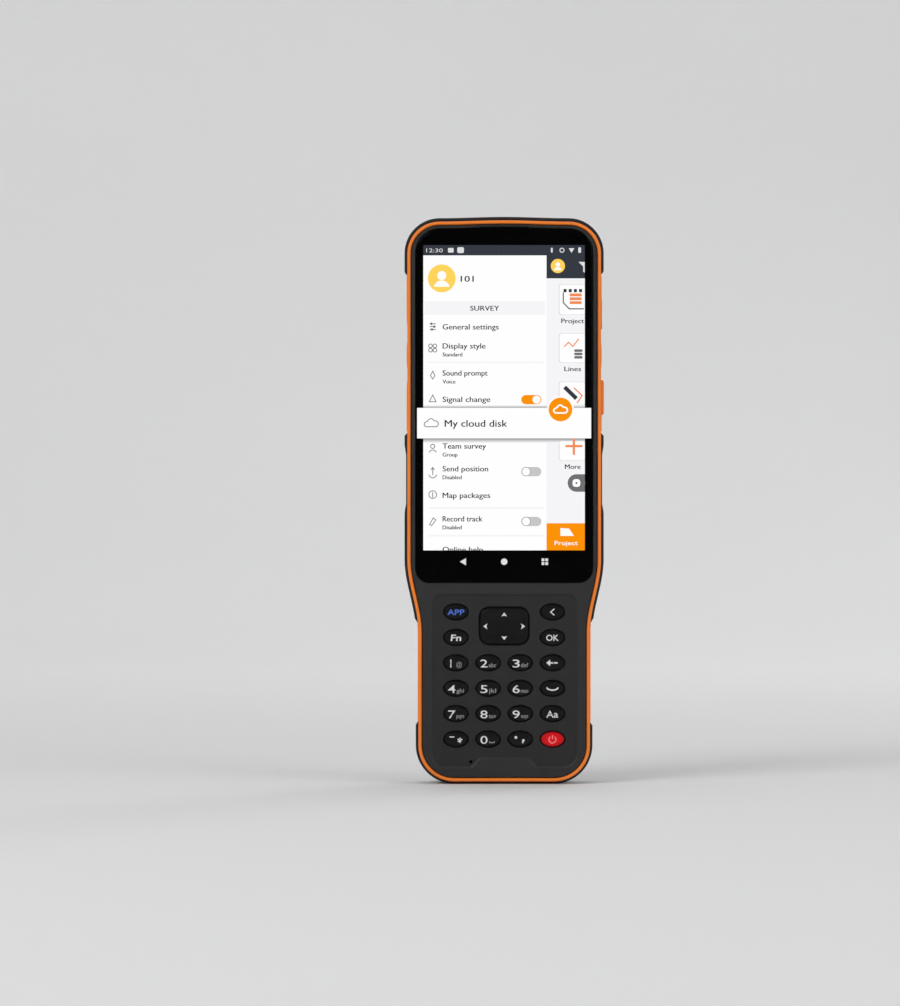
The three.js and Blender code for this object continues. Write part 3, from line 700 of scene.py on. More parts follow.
slots = joined(*[slot_at(i - (count - 1) / 2, row, 4.9, 1.0, 0.49, 8.5, 0.12, 0.05)
                 for row, count in enumerate([3, 5, 5, 3]) for i in range(count)])
dimples = joined(*[slot_at(side * (2 if row in (0, 3) else 3), row, 3.4, 0.8, 0.39, 10.55, 0.18, 0.1)
                   for row in range(4) for side in (-1, 1)])
bar_seat = pocket(rounded(0, BAR_Z, 43.6, 13.06, 6.5, 14), 8.0, PANEL_Y, 0.3, 0.3)
label_seat = pocket(rounded(0, LABEL_Z, LABEL_W + 0.5, LABEL_H + 0.5, LABEL_R + 0.25, 8), 9.95, PANEL_Y, 0.25, 0.1)
camera_seat = pocket(oval(CAMERA_X, CAMERA_Z, 2 * CAMERA_R + 0.5, 2 * CAMERA_R + 0.5, 64), 10.2, PANEL_Y, 0.3, 0.1)
camera_bore = column(CAMERA_X, CAMERA_Z, 3.6, 8, 10.6)
flash_seat = pocket(oval(CAMERA_X, FLASH_Z, FLASH_W + 0.4, FLASH_H + 0.4, 48, 2.3), 9.9, PANEL_Y, 0.3, 0.1)
flash_bore = column(CAMERA_X, FLASH_Z, 1.2, 8, 10.2)
print("pockets in the back ready")

# %% [markdown]
# At the foot the back is planed off at a slope, with a ringed insert in it, and a recess under it takes the port
# flap.

# %% Rear housing: the foot
FACET_Y, FACET_Z, FACET_SLOPE = 8.0, 3.4, 0.264
INSERT_Z, INSERT_OUTER, INSERT_INNER = 7.25, 3.27, 1.85
TILT = math.atan(FACET_SLOPE)
insert_y = FACET_Y + (INSERT_Z - FACET_Z) * FACET_SLOPE


def facet_tool():
    """A sloping wedge that widens upwards; its floor is y = 8 + 0.264 (z - 3.4)."""
    rings = []
    for x, z in [(9.1, -1.0), (15.1, 14.6)]:
        floor = FACET_Y + (z - FACET_Z) * FACET_SLOPE
        half = [(x - 0.35, floor), (x + 0.35, floor + 0.25), (x + 0.9, floor + 0.9), (x + 0.9, 14)]
        rings.append([[-across, y, z] for across, y in half[::-1]] + [[across, y, z] for across, y in half])
    return loft(rings)


def on_facet(shape):
    """Turn a shape made about the Y axis to stand square on the facet, with its zero at the facet's face."""
    points, faces = shape
    x, y, z = points.T
    turned = np.column_stack([x, insert_y + y * math.cos(TILT) + z * math.sin(TILT),
                              INSERT_Z - y * math.sin(TILT) + z * math.cos(TILT)])
    return turned, faces


def box_shape(low, high):
    (x0, y0, z0), (x1, y1, z1) = low, high
    return loft([[[x, y0, z0], [x, y1, z0], [x, y1, z1], [x, y0, z1]] for x in (x0, x1)])


insert_hole = on_facet(column(0, 0, INSERT_OUTER + 0.2, -3.7, 3, 48))
port_recess = prism(rounded(0, 1.25, 20.5, 4.5, 0.5)(), -5.8, 14)
inner_blocks = [box_shape([-23, 5.5, 156.2], [23, 9.6, 171.6]), box_shape([-12, 2.4, 1.8], [12, 9.6, 13.5])]
posts = joined(*[column(x, z, 1.85, 1.3, 4.8, 24) for x, z in SEATS])
shoulders = kept(joined(*[column(x, z, 3.5, 4.3, 12, 40) for x, z in SEATS]), housing_skin())

housing = cut(housing_skin(), housing_hollow)
housing = fused(housing, *[kept(block, housing_skin()) for block in inner_blocks], shoulders, posts)
housing = cut(housing, upper_window, lower_window, grooves, slots, dimples, bar_seat, label_seat, camera_seat,
              camera_bore, flash_seat, flash_bore, facet_tool(), insert_hole, port_recess, seat_holes, screw_wells,
              screw_bores)
piece("rear_shell", housing, HOUSING, "case", ["rear_housing"])

# %% [markdown]
# ## Plugs over the screws
# Each plug is a soft disc whose face follows the swollen flank around it, a hair below it. Its depth comes from the
# same ellipse as the flank: the share of the way from the outer outline to the crease gives the angle, and the
# angle the depth.

# %% Screw plugs
def distance_to(points, outline):
    """Shortest distance from each point to a closed outline, segment by segment."""
    start, run = outline, np.roll(outline, -1, 0) - outline
    along = np.clip(np.einsum("pik,ik->pi", points[:, None] - start, run) / (run ** 2).sum(1), 0, 1)
    return np.linalg.norm(points[:, None] - (start + along[..., None] * run), axis=2).min(1)


def skin_depth(points):
    outer, inner = distance_to(points, body_outline(BUMPER)), distance_to(points, body_outline(CREASE))
    share = np.clip(outer / (outer + inner), 0, 1)
    return FLANK_Y + (RIDGE_Y - FLANK_Y) * np.sqrt(1 - (1 - share) ** 2)


def plug(x, z):
    """Rings of a disc from its foot to the middle of its face, the face sunk 0.12 below the flank."""
    turns = np.arange(36) * 2 * math.pi / 36
    circle = np.column_stack([np.cos(turns), np.sin(turns)])
    centre = np.array([x, z])
    rings = [at_depth(centre + 2.62 * circle, PLUG_FLOOR + 0.1)]
    for radius, sunk in [(2.72, 0.42), (2.66, 0.24), (2.48, 0.14), (1.9, 0.12), (1.2, 0.12), (0.5, 0.12)]:
        flat = centre + radius * circle
        rings.append(np.column_stack([flat[:, 0], skin_depth(flat) - sunk, flat[:, 1]]))
    return loft(rings)


plugs = [plug(x, z) for x, z in SEATS]
for number, made in enumerate(plugs, 1):
    piece(f"screw_plug_{number}", made, RUBBER, "case")

# %% [markdown]
# ## The orange frame
# One moulding again: a half-round bead that shows all round the front, a web behind it, and the orange side panels
# that fill the windows of the housing. The bead is a closed loft: one cross-section carried round the body's
# outline. The panels are cut from a shell that lies just under the housing's surface.

# %% Orange frame
BEAD_EDGE, BEAD = 0.1, 1.36
SIDE_SURFACE = 37.8
KEY_HOLE = {"side": (150.0, 6.8), "volume": (182.7, 6.5)}


def bead_section():
    """Half-round crest of the bead, then the web behind it, as (inset, depth) pairs in order round the section:
    inset = edge + half (1 - cos a), depth = -10.75 - 0.75 sin a."""
    half = (BEAD - BEAD_EDGE) / 2
    crest = [(BEAD_EDGE + half * (1 - math.cos(a)), -10.75 - 0.75 * math.sin(a)) for a in np.linspace(0, math.pi, 13)]
    web = [(BEAD, -8.0), (3.2, -8.0), (3.2, 1.0), (1.3, 1.0), (1.3, -9.3), (BEAD_EDGE, -9.3)]
    return crest + web


def scoops(z):
    """Two shallow finger scoops beside the screw lobe, each 0.5 exp(-((z - place) / 3.2)^2)."""
    return 0.5 * np.exp(-(((z - 174.5) / 3.2) ** 2)) + 0.5 * np.exp(-(((z - 158.7) / 2.6) ** 2))


frame_ring = loft([at_depth(body_outline(FRAME_EDGE, inset), y) for inset, y in bead_section()], closed=True)
panel_edge = body_outline(FRAME_EDGE, -0.15, scoops)
panel_shell = cut(
    loft([at_depth(panel_edge, -9.7)] + flank_rings(panel_edge, 10.35)),
    loft([at_depth(body_outline(FRAME_EDGE, 2.6), -14)] + flank_rings(body_outline(FRAME_EDGE, 2.6), 7.9)),
)
seal_groove = loft([at_depth(body_outline(FRAME_EDGE, inset), y) for inset, y in
                    [(1.3, 1.02), (2.9, 1.02), (2.9, 2.4), (1.3, 2.4)]], closed=True)
cover_space = loft([at_depth(body_outline(FRAME_EDGE, 1.38), y) for y in (-14, -8.0)])
lobe_space = both(column(33.0, 167.4, 4.05, 1.0, 12, 48))
upper_panels = kept(panel_shell, both(prism(side_window(**UPPER, gap=0.75)(), -14, 14)))
upper_panels = cut(upper_panels, lobe_space, seal_groove, cover_space)
lower_tool = both(prism(side_window(**LOWER, gap=0.3)(), -14, 1.0))
lower_panels = cut(kept(panel_shell, lower_tool), cover_space)
bosses = joined(*[column(x, z, 2.4, -4, 1.0, 24) for x, z in SEATS])


def key_window(z, half, surface):
    """Hole along X with the key's rounded outline, 0.25 clear of it, flaring by 0.3 more at the surface."""
    rings = []
    for x, grow in [(33, 0.25), (surface - 0.35, 0.25), (surface - 0.1, 0.34), (surface + 0.02, 0.55), (42, 0.55)]:
        flat = rounded(-2.65, z, 5.7, 2 * half, 1.2, 6)(grow)
        rings.append(np.column_stack([np.full(len(flat), x), flat[:, 0], flat[:, 1]]))
    return loft(rings)


side_holes = [key_window(z, half, SIDE_SURFACE) for z, half in KEY_HOLE.values()]
head_tab = box_shape([-1.2, -4, 213], [1.2, 1, 216])
earpiece_opening = box_shape([-9.9, -9, 213.4], [9.9, -7.0, 217.3])
socket_opening = box_shape([-4.7, -2.1, 0], [4.7, 2, 6])
screw_holes = joined(*[column(x, z, 1.2, -3, 2, 16) for x, z in SEATS])
frame_shape = fused(frame_ring, upper_panels, lower_panels, bosses, head_tab)
frame_shape = cut(frame_shape, earpiece_opening, joined(*side_holes), screw_holes, socket_opening)
piece("orange_frame", frame_shape, ORANGE, "case", ["mid_frame"])

# %% [markdown]
# ## Front cover
# The cover is a thin plate inside the bead. It holds the glass in a stepped pocket and sinks again round the
# keypad, with a raised tab at the foot. Each key has its own oval well with a rounded rim, which catches a thin
# line of light.

# %% Front cover
COVER_Y, KEYPAD_Y = -10.9, -10.3
KEY_W, KEY_H = 9.0, 5.7
COLUMNS = [-18.7, -6.23, 6.23, 18.7]
ROWS = [66.7, 56.8, 47.0, 37.1, 27.3, 17.4]
NAMES = [
    ["key_app", None, None, "key_back"],
    ["key_fn", None, None, "key_ok"],
    ["key_1", "key_2", "key_3", "key_delete"],
    ["key_4", "key_5", "key_6", "key_space"],
    ["key_7", "key_8", "key_9", "key_shift"],
    ["key_minus", "key_0", "key_point", "key_power"],
]
KEYS = {name: (COLUMNS[j], ROWS[i]) for i, row in enumerate(NAMES) for j, name in enumerate(row) if name}
PAD_Z, PAD_W, PAD_H, PAD_R = 61.25, 18.6, 13.9, 3.6

keypad_edge = softened(
    [[9.3, 9.5], [12.3, 6.0], [28.8, 6.0], [28.8, 74.0], [-28.8, 74.0], [-28.8, 6.0], [-12.3, 6.0], [-9.3, 9.5]],
    [1.5, 1.5, 6.0, 4.0, 4.0, 6.0, 1.5, 1.5], 8,
)


def glass_pocket():
    """A straight wall 0.3 outside the glass, then a lip of radius 0.5 that catches the light."""
    lip = [(-0.3 - 0.5 * (1 - math.cos(t)), COVER_Y + 0.5 * (1 - math.sin(t))) for t in quarter_turns(6)]
    return loft([at_depth(body_outline(GLASS, inset), y) for inset, y in [(-0.3, -9.1), *lip, (-0.8, -14)]])


cover_edges = [(2.0, COVER_Y), (1.8, COVER_Y + 0.06), (1.66, COVER_Y + 0.25), (1.66, -8.3)]
cover = loft([at_depth(body_outline(FRAME_EDGE, inset), y) for inset, y in cover_edges])
wells = joined(*[pocket(oval(x, z, KEY_W + 0.75, KEY_H + 0.75), -7, KEYPAD_Y, 0.4, 0.05, -1) for x, z in KEYS.values()])
pad_well = pocket(rounded(0, PAD_Z, PAD_W + 0.8, PAD_H + 0.8, PAD_R + 0.4, 10), -7, KEYPAD_Y, 0.55, 0.05, -1)
cover = cut(
    cover, glass_pocket(), box_shape([-32.5, -14, 79.4], [32.5, -7, 210.9]),
    recess(keypad_edge, KEYPAD_Y, COVER_Y, 1.1), box_shape([-27, -8.9, 9.3], [27, -7, 73.5]),
    wells, pad_well, pocket(oval(-12.9, 8.6, 1.3, 1.3, 20), -7, KEYPAD_Y, 0.1, 0.02, -1),
    prism(rounded(0, 215.1, 19.0, 2.2, 0.4)(), -14, -7),
)
cover_piece = piece("cover_plate", cover, COVER, "case", ["front_cover"])
# The sunk faces round the keys take the darker panel finish, painted shade in the recess.
cover_piece.data.materials.append(SHADED_PANEL)
centres = np.empty(len(cover_piece.data.polygons) * 3)
cover_piece.data.polygons.foreach_get("center", centres)
sunk = (centres.reshape(-1, 3)[:, 1] / MM > KEYPAD_Y - 0.1) & (np.abs(centres.reshape(-1, 3)[:, 2] / MM - 40) < 34.5)
cover_piece.data.polygons.foreach_set("material_index", sunk.astype(int))

# %% Earpiece mesh
piece("earpiece_mesh", prism(rounded(0, 215.2, 19.6, 2.6, 0.4)(), -8.9, -8.6), MODULE, "case")

# %% [markdown]
# ## Glass
# A flat sheet with ground edges that follows the arched head of the case.

# %% Glass
glass_steps = [(0.6, -10.7), (0.32, -10.67), (0.1, -10.56), (0.0, -10.35), (0.0, -9.4)]
glass = loft([at_depth(body_outline(GLASS, inset), y) for inset, y in glass_steps])
piece("glass_sheet", glass, GLASS_BLACK, "case", ["touch_glass"])

# %% [markdown]
# ## Keys
# A key is a turned profile squashed to an oval: flange, neck, rounded shoulder and a crowned face. Depth is a
# function of the distance from the middle, so the legend can be laid on the crown with the same function.

# %% Key caps
KEY_TOP, KEY_EDGE = -11.1, -10.92


def key_rings():
    """(share of the half width, depth) from the flange to the middle of the crown."""
    neck = [(0.0, -8.0), (1.178, -8.0), (1.178, -8.6), (1.0, -8.6), (1.0, -10.3)]
    shoulder = [(0.9 + 0.1 * math.cos(t), -10.3 - 0.62 * math.sin(t)) for t in quarter_turns(7)[1:]]
    crown = [(r, KEY_EDGE + (KEY_TOP - KEY_EDGE) * (1 - (r / 0.9) ** 2)) for r in (0.75, 0.55, 0.3, 0.12)]
    return neck[1:] + shoulder + crown


def key_face(x, z, at_x, at_z):
    """Depth of the crown at (x, z) for a key that stands at (at_x, at_z)."""
    r2 = ((x - at_x) / (KEY_W / 2)) ** 2 + ((z - at_z) / (KEY_H / 2)) ** 2
    return KEY_EDGE + (KEY_TOP - KEY_EDGE) * (1 - r2 / 0.81)


for name, (x, z) in KEYS.items():
    rings = []
    for share, depth in key_rings():
        spread = (share - 1) * KEY_W / 2
        grow = oval(x, z, KEY_W, KEY_H)(spread) if share > 1 else oval(x, z, KEY_W * share, KEY_H * share)()
        rings.append(at_depth(grow, depth))
    red = name == "key_power"
    piece(f"{name}_cap", loft(rings), KEY_RED if red else KEY_BLACK, f"{name}_body",
          [name])

# %% [markdown]
# ## Navigation pad
# A rounded block with a soft shoulder and a very shallow dish in the middle that guides the thumb. It is a grid in
# polar form: the outline shrinks towards the middle while the depth follows a smooth dish.

# %% Navigation pad
def pad_rings():
    """(inset, depth) from the skirt to the middle; inside the shoulder the face dips by up to 0.32 in a smooth dish."""
    skirt = [(-1.0, -7.7), (-1.0, -8.2), (0.0, -8.2), (0.0, -10.35)]
    shoulder = [(0.9 - 0.9 * math.cos(t), -10.35 - 0.65 * math.sin(t)) for t in quarter_turns(8)[1:]]
    dish = [(inset, -11.0 + 0.32 * float(smooth_step((inset - 1.1) / 3.4)))
            for inset in (1.2, 1.6, 2.1, 2.7, 3.4, 4.2, 4.9, 5.6, 6.3)]
    return skirt + shoulder + dish


pad_outline = rounded(0, PAD_Z, PAD_W, PAD_H, PAD_R, 12)


def pad_ring(inset, depth):
    """Outline of the face: its own offset near the edge, blending to a scaled copy towards the middle."""
    if inset <= 2.7:
        return at_depth(pad_outline(-inset), depth)
    share = (6.7 - inset) / (6.7 - 2.7)
    middle = np.array([0, PAD_Z])
    return at_depth(middle + (pad_outline(-2.7) - middle) * share, depth)


piece("pad_cap", loft([pad_ring(*step) for step in pad_rings()]), KEY_BLACK, "dpad_cap_body", ["dpad_cap"])

# %% [markdown]
# ## Side keys and the port flap
# The side keys are small blocks with rounded faces, lofted outwards along X. The flap is a rubber plate whose back
# edge stands up along the facet, with a plug behind it that fills the way in to the socket.

# %% Side keys
def side_key(z, half, face, crest):
    """Rings along X: neck, rounded shoulder, then a face that swells by crest."""
    front, back, edge = -5.5, 0.2, 0.7
    middle_y, half_y = (front + back) / 2, (back - front) / 2
    steps = [(33.95, 0.0), (face - edge - crest, 0.0)]
    steps += [(face - crest - edge + edge * math.sin(t), edge - edge * math.cos(t)) for t in quarter_turns(6)[1:]]
    steps += [(face - crest * 0.35, 1.3), (face, 2.1)]
    rings = []
    for x, inset in steps:
        flat = rounded(middle_y, z, 2 * half_y, 2 * half, 1.2, 6)(-inset)
        rings.append(np.column_stack([np.full(len(flat), x), flat[:, 0], flat[:, 1]]))
    flange = rounded(middle_y, z, 7.2, 2 * half + 1.6, 0.8, 6)()
    flange_rings = [np.column_stack([np.full(len(flange), x), flange[:, 0], flange[:, 1]]) for x in (33.4, 33.98)]
    return fused(loft(rings), loft(flange_rings))


piece("side_key_cap", side_key(*KEY_HOLE["side"], 38.95, 0.15), ORANGE, "side_key_body", ["side_key"])
piece("volume_key_cap", side_key(*KEY_HOLE["volume"], 38.15, 0.08), DARK_ORANGE, "volume_key_body",
      ["volume_key"])

# %% Port flap
flap = plate(rounded(0, 0.85, 20.0, 1.5, 0.3), -5.5, 7.2, 0.3, 0.3)
flap = fused(flap, plate(rounded(0, 1.75, 20.0, 2.9, 0.5), 2.5, 7.2, 0.2, 0.45))
flap_skin = loft([at_depth(body_outline(BUMPER, 0.2), -12)] + flank_rings(body_outline(BUMPER, 0.2), 11.0))
flap = kept(flap, flap_skin)
flap = fused(flap, prism(rounded(0, 2.3, 8.0, 2.2, 0.5)(), -1.4, 1.0))
piece("port_flap", flap, FLAP_RUBBER, "port_cover_body", ["port_cover"])

# %% [markdown]
# ## Strap bar
# A plate screwed over a pocket, with a slot for a strap and a notch below it. Its edge is well rounded so that
# webbing doesn't chafe.

# %% Strap bar and its screws
BAR_BACK, BAR_FRONT, BAR_FOOT, BAR_SCREW = 11.4, 9.8, 8.3, 15.4
bar = plate(rounded(0, BAR_Z, 2 * BAR_HALF, 2 * BAR_R, BAR_R - 0.02, 16), BAR_BACK, BAR_FRONT, 0.55, 0.2, 6)
bar_feet = joined(*[
    prism(softened([[10.5 * s, 150], [30 * s, 150], [30 * s, 180], [10.5 * s, 180]][::s], [0.2] * 4)(), BAR_FOOT, 10.2)
    for s in (1, -1)
])
bar = fused(bar, kept(prism(rounded(0, BAR_Z, 2 * BAR_HALF, 2 * BAR_R, BAR_R - 0.02, 16)(), BAR_FOOT, 10.2), bar_feet))
notch = softened([[-8.9, 157.2], [8.9, 157.2], [7.2, 159.5], [-7.2, 159.5]], [0.1, 0.1, 0.5, 0.5])
bar = cut(bar, pocket(rounded(0, BAR_Z, 16.4, 2.1, 1.04, 8), 5, BAR_BACK, 0.3, 0.05),
          pocket(notch, 5, BAR_BACK, 0.2, 0.05),
          joined(*[pocket(oval(x, BAR_Z, 4.9, 4.9, 40), 10.3, BAR_BACK, 0.25, 0.05) for x in (-BAR_SCREW, BAR_SCREW)]),
          joined(*[column(x, BAR_Z, 1.2, 5, 10.5, 20) for x in (-BAR_SCREW, BAR_SCREW)]))
piece("strap_plate", bar, BAR, "case", ["strap_bar"])


def turned(profile, x, z, steps=36):
    """Rings (radius, depth) about a line through (x, z)."""
    return loft([at_depth(oval(x, z, 2 * radius, 2 * radius, steps)(), depth) for radius, depth in profile])


def cross_screw(x, z, turn):
    """Domed head with a tapered cross cut into it."""
    dome = [(2.2, 10.62), (2.2, 10.95)]
    dome += [(2.2 * math.cos(t), 10.95 + 0.36 * math.sin(t)) for t in quarter_turns(6)[1:-1]]
    head = turned([(0.9, 6.3), (0.9, 10.62), *dome, (0.1, 11.31)], x, z)
    arms = []
    for angle in (turn, turn + math.pi / 2):
        c, s = math.cos(angle), math.sin(angle)
        rings = []
        for depth, length, width in [(10.75, 0.9, 0.16), (11.6, 1.5, 0.3)]:
            corners = np.array([[-length, -width], [length, -width], [length, width], [-length, width]])
            flat = corners @ np.array([[c, s], [-s, c]]) + [x, z]
            rings.append(at_depth(flat, depth))
        arms.append(loft(rings))
    return cut(head, *arms)


for number, (x, turn) in enumerate([(BAR_SCREW, 0.5), (-BAR_SCREW, 0.9)], 1):
    piece(f"bar_screw_{number}", cross_screw(x, BAR_Z, turn), STEEL, "case",
          [f"strap_bar_screw_{number}"])

# %% [markdown]
# ## Small parts on the back
# The name plate stays blank. The camera's window is a disc with a raised rim round a lens, the flash a clear cap
# over a small round yellow lamp, and the insert a plated ring.

# %% Name plate, camera, flash and insert
piece("name_plate", plate(rounded(0, LABEL_Z, LABEL_W, LABEL_H, LABEL_R, 12), 10.8, 10.25, 0.2), NAME_PLATE, "case",
      ["label_plate"])
camera_profile = [(4.65, 10.5), (4.65, 11.1), (4.55, 11.24), (4.35, 11.3), (4.0, 11.3), (3.75, 11.22), (3.65, 11.1),
                  (2.4, 11.08), (2.15, 11.0), (2.0, 10.8), (0.05, 10.78)]
lens_profile = [(1.75, 10.7), (1.75, 10.9), (1.6, 11.0), (1.2, 11.09), (0.7, 11.14), (0.05, 11.16)]
piece("camera_lens", turned(camera_profile, CAMERA_X, CAMERA_Z, 72), WINDOW, "case", ["camera_window"])
piece("camera_glass", turned(lens_profile, CAMERA_X, CAMERA_Z, 48), LENS, "case")
piece("flash_cap", plate(oval(CAMERA_X, FLASH_Z, FLASH_W, FLASH_H, 56, 2.3), 10.95, 10.2, 0.25), WINDOW, "case",
      ["flash_window"])
PHOSPHOR = lit("flash phosphor", linear(240, 236, 200), 0.7)
piece("flash_lamp", plate(oval(CAMERA_X, FLASH_Z, 2.5, 2.5, 32), 11.02, 10.96, 0.04), PHOSPHOR, "case")
ring_profile = [(INSERT_INNER, -3.1), (INSERT_OUTER, -3.1), (INSERT_OUTER, 0.1), (3.2, 0.24), (3.05, 0.3), (2.1, 0.3),
                (1.93, 0.22), (INSERT_INNER, 0.05)]
insert_ring = loft([at_depth(oval(0, 0, 2 * r, 2 * r, 48)(), y) for r, y in ring_profile], closed=True)
piece("insert_ring", on_facet(insert_ring), YELLOW, "case", ["strap_insert"])

# %% [markdown]
# ## Print and light
# Legends, marks and the picture on the screen are very thin plates on top of their surface, each a closed solid.
# Text is a curve object first, made into a mesh, then placed by moving its points.

# %% Lettering and flat marks
THIN = 0.012


def lettering(text, x, z, height, y, align="LEFT", width=None, bold=0.0, slant=0.0):
    """Text with capitals of the given height, its middle line at z; width stretches it to a set length."""
    curve = bpy.data.curves.new("text", "FONT")
    curve.body = text
    curve.align_x = "LEFT"
    curve.size = 1.0
    curve.resolution_u = 3
    curve.extrude = 0.5
    curve.offset = bold
    curve.shear = slant
    holder = bpy.data.objects.new("text", curve)
    bpy.context.scene.collection.objects.link(holder)
    graph = bpy.context.evaluated_depsgraph_get()
    mesh = bpy.data.meshes.new_from_object(holder.evaluated_get(graph))
    points, faces = arrays_of(mesh)
    bpy.data.objects.remove(holder)
    points = points * MM
    points[:, 0] -= points[:, 0].min()
    cap = 0.73
    scale = height / cap
    stretch = width / points[:, 0].max() if width else scale
    across = points[:, 0] * stretch
    if align == "CENTER":
        across -= across.max() / 2
    placed = np.column_stack([x + across, y - THIN / 2 - points[:, 2] * THIN, z + (points[:, 1] - cap / 2) * scale])
    return upright(placed, faces)


def strong(text, x, z, height, y, align="LEFT", width=None):
    """A heavier weight: the same text twice, 0.11 apart, the second a hair in front of the first."""
    return joined(*[lettering(text, x + 0.11 * n, z, height, y - 0.004 * n, align, width) for n in (0, 1)])


def mark(flat, y):
    return prism(flat, y - THIN, y)


def disc(x, z, radius, y, steps=32):
    return mark(oval(x, z, 2 * radius, 2 * radius, steps)(), y)


def panel(x0, z0, x1, z1, y, radius=0.02):
    return mark(rounded((x0 + x1) / 2, (z0 + z1) / 2, abs(x1 - x0), abs(z1 - z0), radius, 5)(), y)


def stroke(points, width, y, closed=False):
    """A line of constant width: each side is the path moved by half the width along the mitre at each point."""
    path = np.asarray(points, float)
    before = path - np.roll(path, 1, 0)
    after = np.roll(path, -1, 0) - path
    if not closed:
        before[0], after[-1] = after[0], before[-1]
    before /= np.linalg.norm(before, axis=1)[:, None]
    after /= np.linalg.norm(after, axis=1)[:, None]
    normal = np.column_stack([before[:, 1] + after[:, 1], -before[:, 0] - after[:, 0]])
    normal /= np.linalg.norm(normal, axis=1)[:, None]
    reach = width / 2 / np.maximum(normal[:, 0] * before[:, 1] - normal[:, 1] * before[:, 0], 0.4)
    left, right = path + normal * reach[:, None], path - normal * reach[:, None]
    corners = [np.column_stack([side[:, 0], np.full(len(path), depth), side[:, 1]])
               for side, depth in [(left, y), (right, y), (right, y - THIN), (left, y - THIN)]]
    rings = np.stack(corners, 1)
    return loft(rings, closed=closed)


def arc(x, z, radius, start, end, steps=20):
    angle = np.radians(np.linspace(start, end, steps + 1))
    return np.column_stack([x + radius * np.cos(angle), z + radius * np.sin(angle)])


def finer(shape, step):
    """Put points along every edge longer than step, the same ones for both faces of the edge."""
    points, faces = shape
    grown, made, new_faces = list(points), {}, []
    for face in faces:
        loop = []
        for a, b in zip(face, face[1:] + face[:1]):
            low, high = min(a, b), max(a, b)
            if (low, high) not in made:
                parts = int(math.ceil(np.linalg.norm(points[high] - points[low]) / step))
                shares = np.arange(1, parts) / parts
                made[low, high] = list(range(len(grown), len(grown) + len(shares)))
                grown += [points[low] + share * (points[high] - points[low]) for share in shares]
            between = made[low, high]
            loop += [a, *(between if a == low else between[::-1])]
        new_faces.append(loop)
    return np.array(grown), new_faces


# %% [markdown]
# ## Key legends
# Digits stand left of the middle with their letters small beside them, as on any telephone pad. Each legend is laid
# on the crown of its key.

# %% Key legends
def on_key(name, shapes):
    """Move each point of flat marks at depth 0 to the crown of the key, a hair above it."""
    points, faces = finer(joined(*shapes), 0.35)
    at_x, at_z = KEYS[name]
    lifted = points.copy()
    lifted[:, 1] += key_face(points[:, 0], points[:, 2], at_x, at_z) - 0.01
    return lifted, faces


def legend(name, finish, *marks, suffix="print"):
    piece(f"{name}_{suffix}", on_key(name, marks), finish, f"{name}_body")


LETTERS = {"2": "abc", "3": "def", "4": "ghi", "5": "jkl", "6": "mno", "7": "pqrs", "8": "tuv", "9": "wxyz"}
for digit, letters in LETTERS.items():
    x, z = KEYS[f"key_{digit}"]
    legend(f"key_{digit}", INK_WHITE, lettering(digit, x - 3.0, z - 0.15, 3.2, 0, width=2.8, bold=0.004))
    small = lettering(letters, x + 0.2, z - 0.8, 1.7, 0, width=2.9, bold=0.012)
    legend(f"key_{digit}", INK_GREY, small, suffix="letters")
x, z = KEYS["key_1"]
legend("key_1", INK_WHITE, lettering("1", x - 2.2, z - 0.15, 3.2, 0, bold=0.004))
legend("key_1", INK_GREY, lettering("@", x + 0.1, z - 0.5, 1.9, 0, width=2.2), suffix="letters")
x, z = KEYS["key_0"]
legend("key_0", INK_WHITE, lettering("0", x - 3.0, z - 0.15, 3.2, 0, width=2.8, bold=0.004))
bracket = [[x + 0.5, z - 0.75], [x + 0.6, z - 1.3], [x + 2.3, z - 1.3], [x + 2.4, z - 0.75]]
legend("key_0", INK_GREY, stroke(bracket, 0.35, 0), suffix="letters")
x, z = KEYS["key_minus"]
legend("key_minus", INK_WHITE, stroke([[x - 2.5, z + 0.9], [x - 0.6, z + 0.9]], 0.4, 0),
       lettering("*", x + 0.6, z - 1.0, 3.2, 0, bold=0.02))
x, z = KEYS["key_point"]
legend("key_point", INK_WHITE, disc(x - 1.7, z + 0.7, 0.55, 0, 20), disc(x + 1.2, z - 0.4, 0.5, 0, 20),
       mark(np.array([[x + 0.75, z - 0.5], [x + 1.68, z - 0.5], [x + 1.0, z - 1.6], [x + 0.7, z - 1.5]]), 0))
CAPTIONS = [
    ("key_app", INK_BLUE, "APP", 0.0, 2.2, 6.6, 0.015, 0.0),
    ("key_fn", INK_WHITE, "Fn", 0.0, 2.5, 4.1, 0.02, 0.08),
    ("key_ok", INK_WHITE, "OK", 0.0, 2.4, 4.9, 0.015, 0.0),
    ("key_shift", INK_WHITE, "Aa", -0.1, 2.8, 4.6, 0.01, 0.0),
]
for name, ink, words, shift, height, width, bold, slant in CAPTIONS:
    x, z = KEYS[name]
    legend(name, ink, lettering(words, x + shift, z + shift, height, 0, "CENTER", width, bold, slant))
x, z = KEYS["key_back"]
legend("key_back", INK_WHITE, stroke([[x + 0.75, z + 1.25], [x - 0.7, z], [x + 0.75, z - 1.25]], 0.42, 0))
x, z = KEYS["key_delete"]
legend("key_delete", INK_WHITE, stroke([[x - 1.2, z], [x + 2.0, z]], 0.6, 0),
       mark(np.array([[x - 2.4, z], [x - 0.9, z - 1.3], [x - 0.9, z + 1.3]]), 0))
x, z = KEYS["key_space"]
curve = [[x - 2.2 + 4.4 * t, z + 0.4 - 1.05 * math.sin(math.pi * t) ** 0.45] for t in np.linspace(0, 1, 13)]
legend("key_space", INK_WHITE, stroke(curve, 0.55, 0))
x, z = KEYS["key_power"]
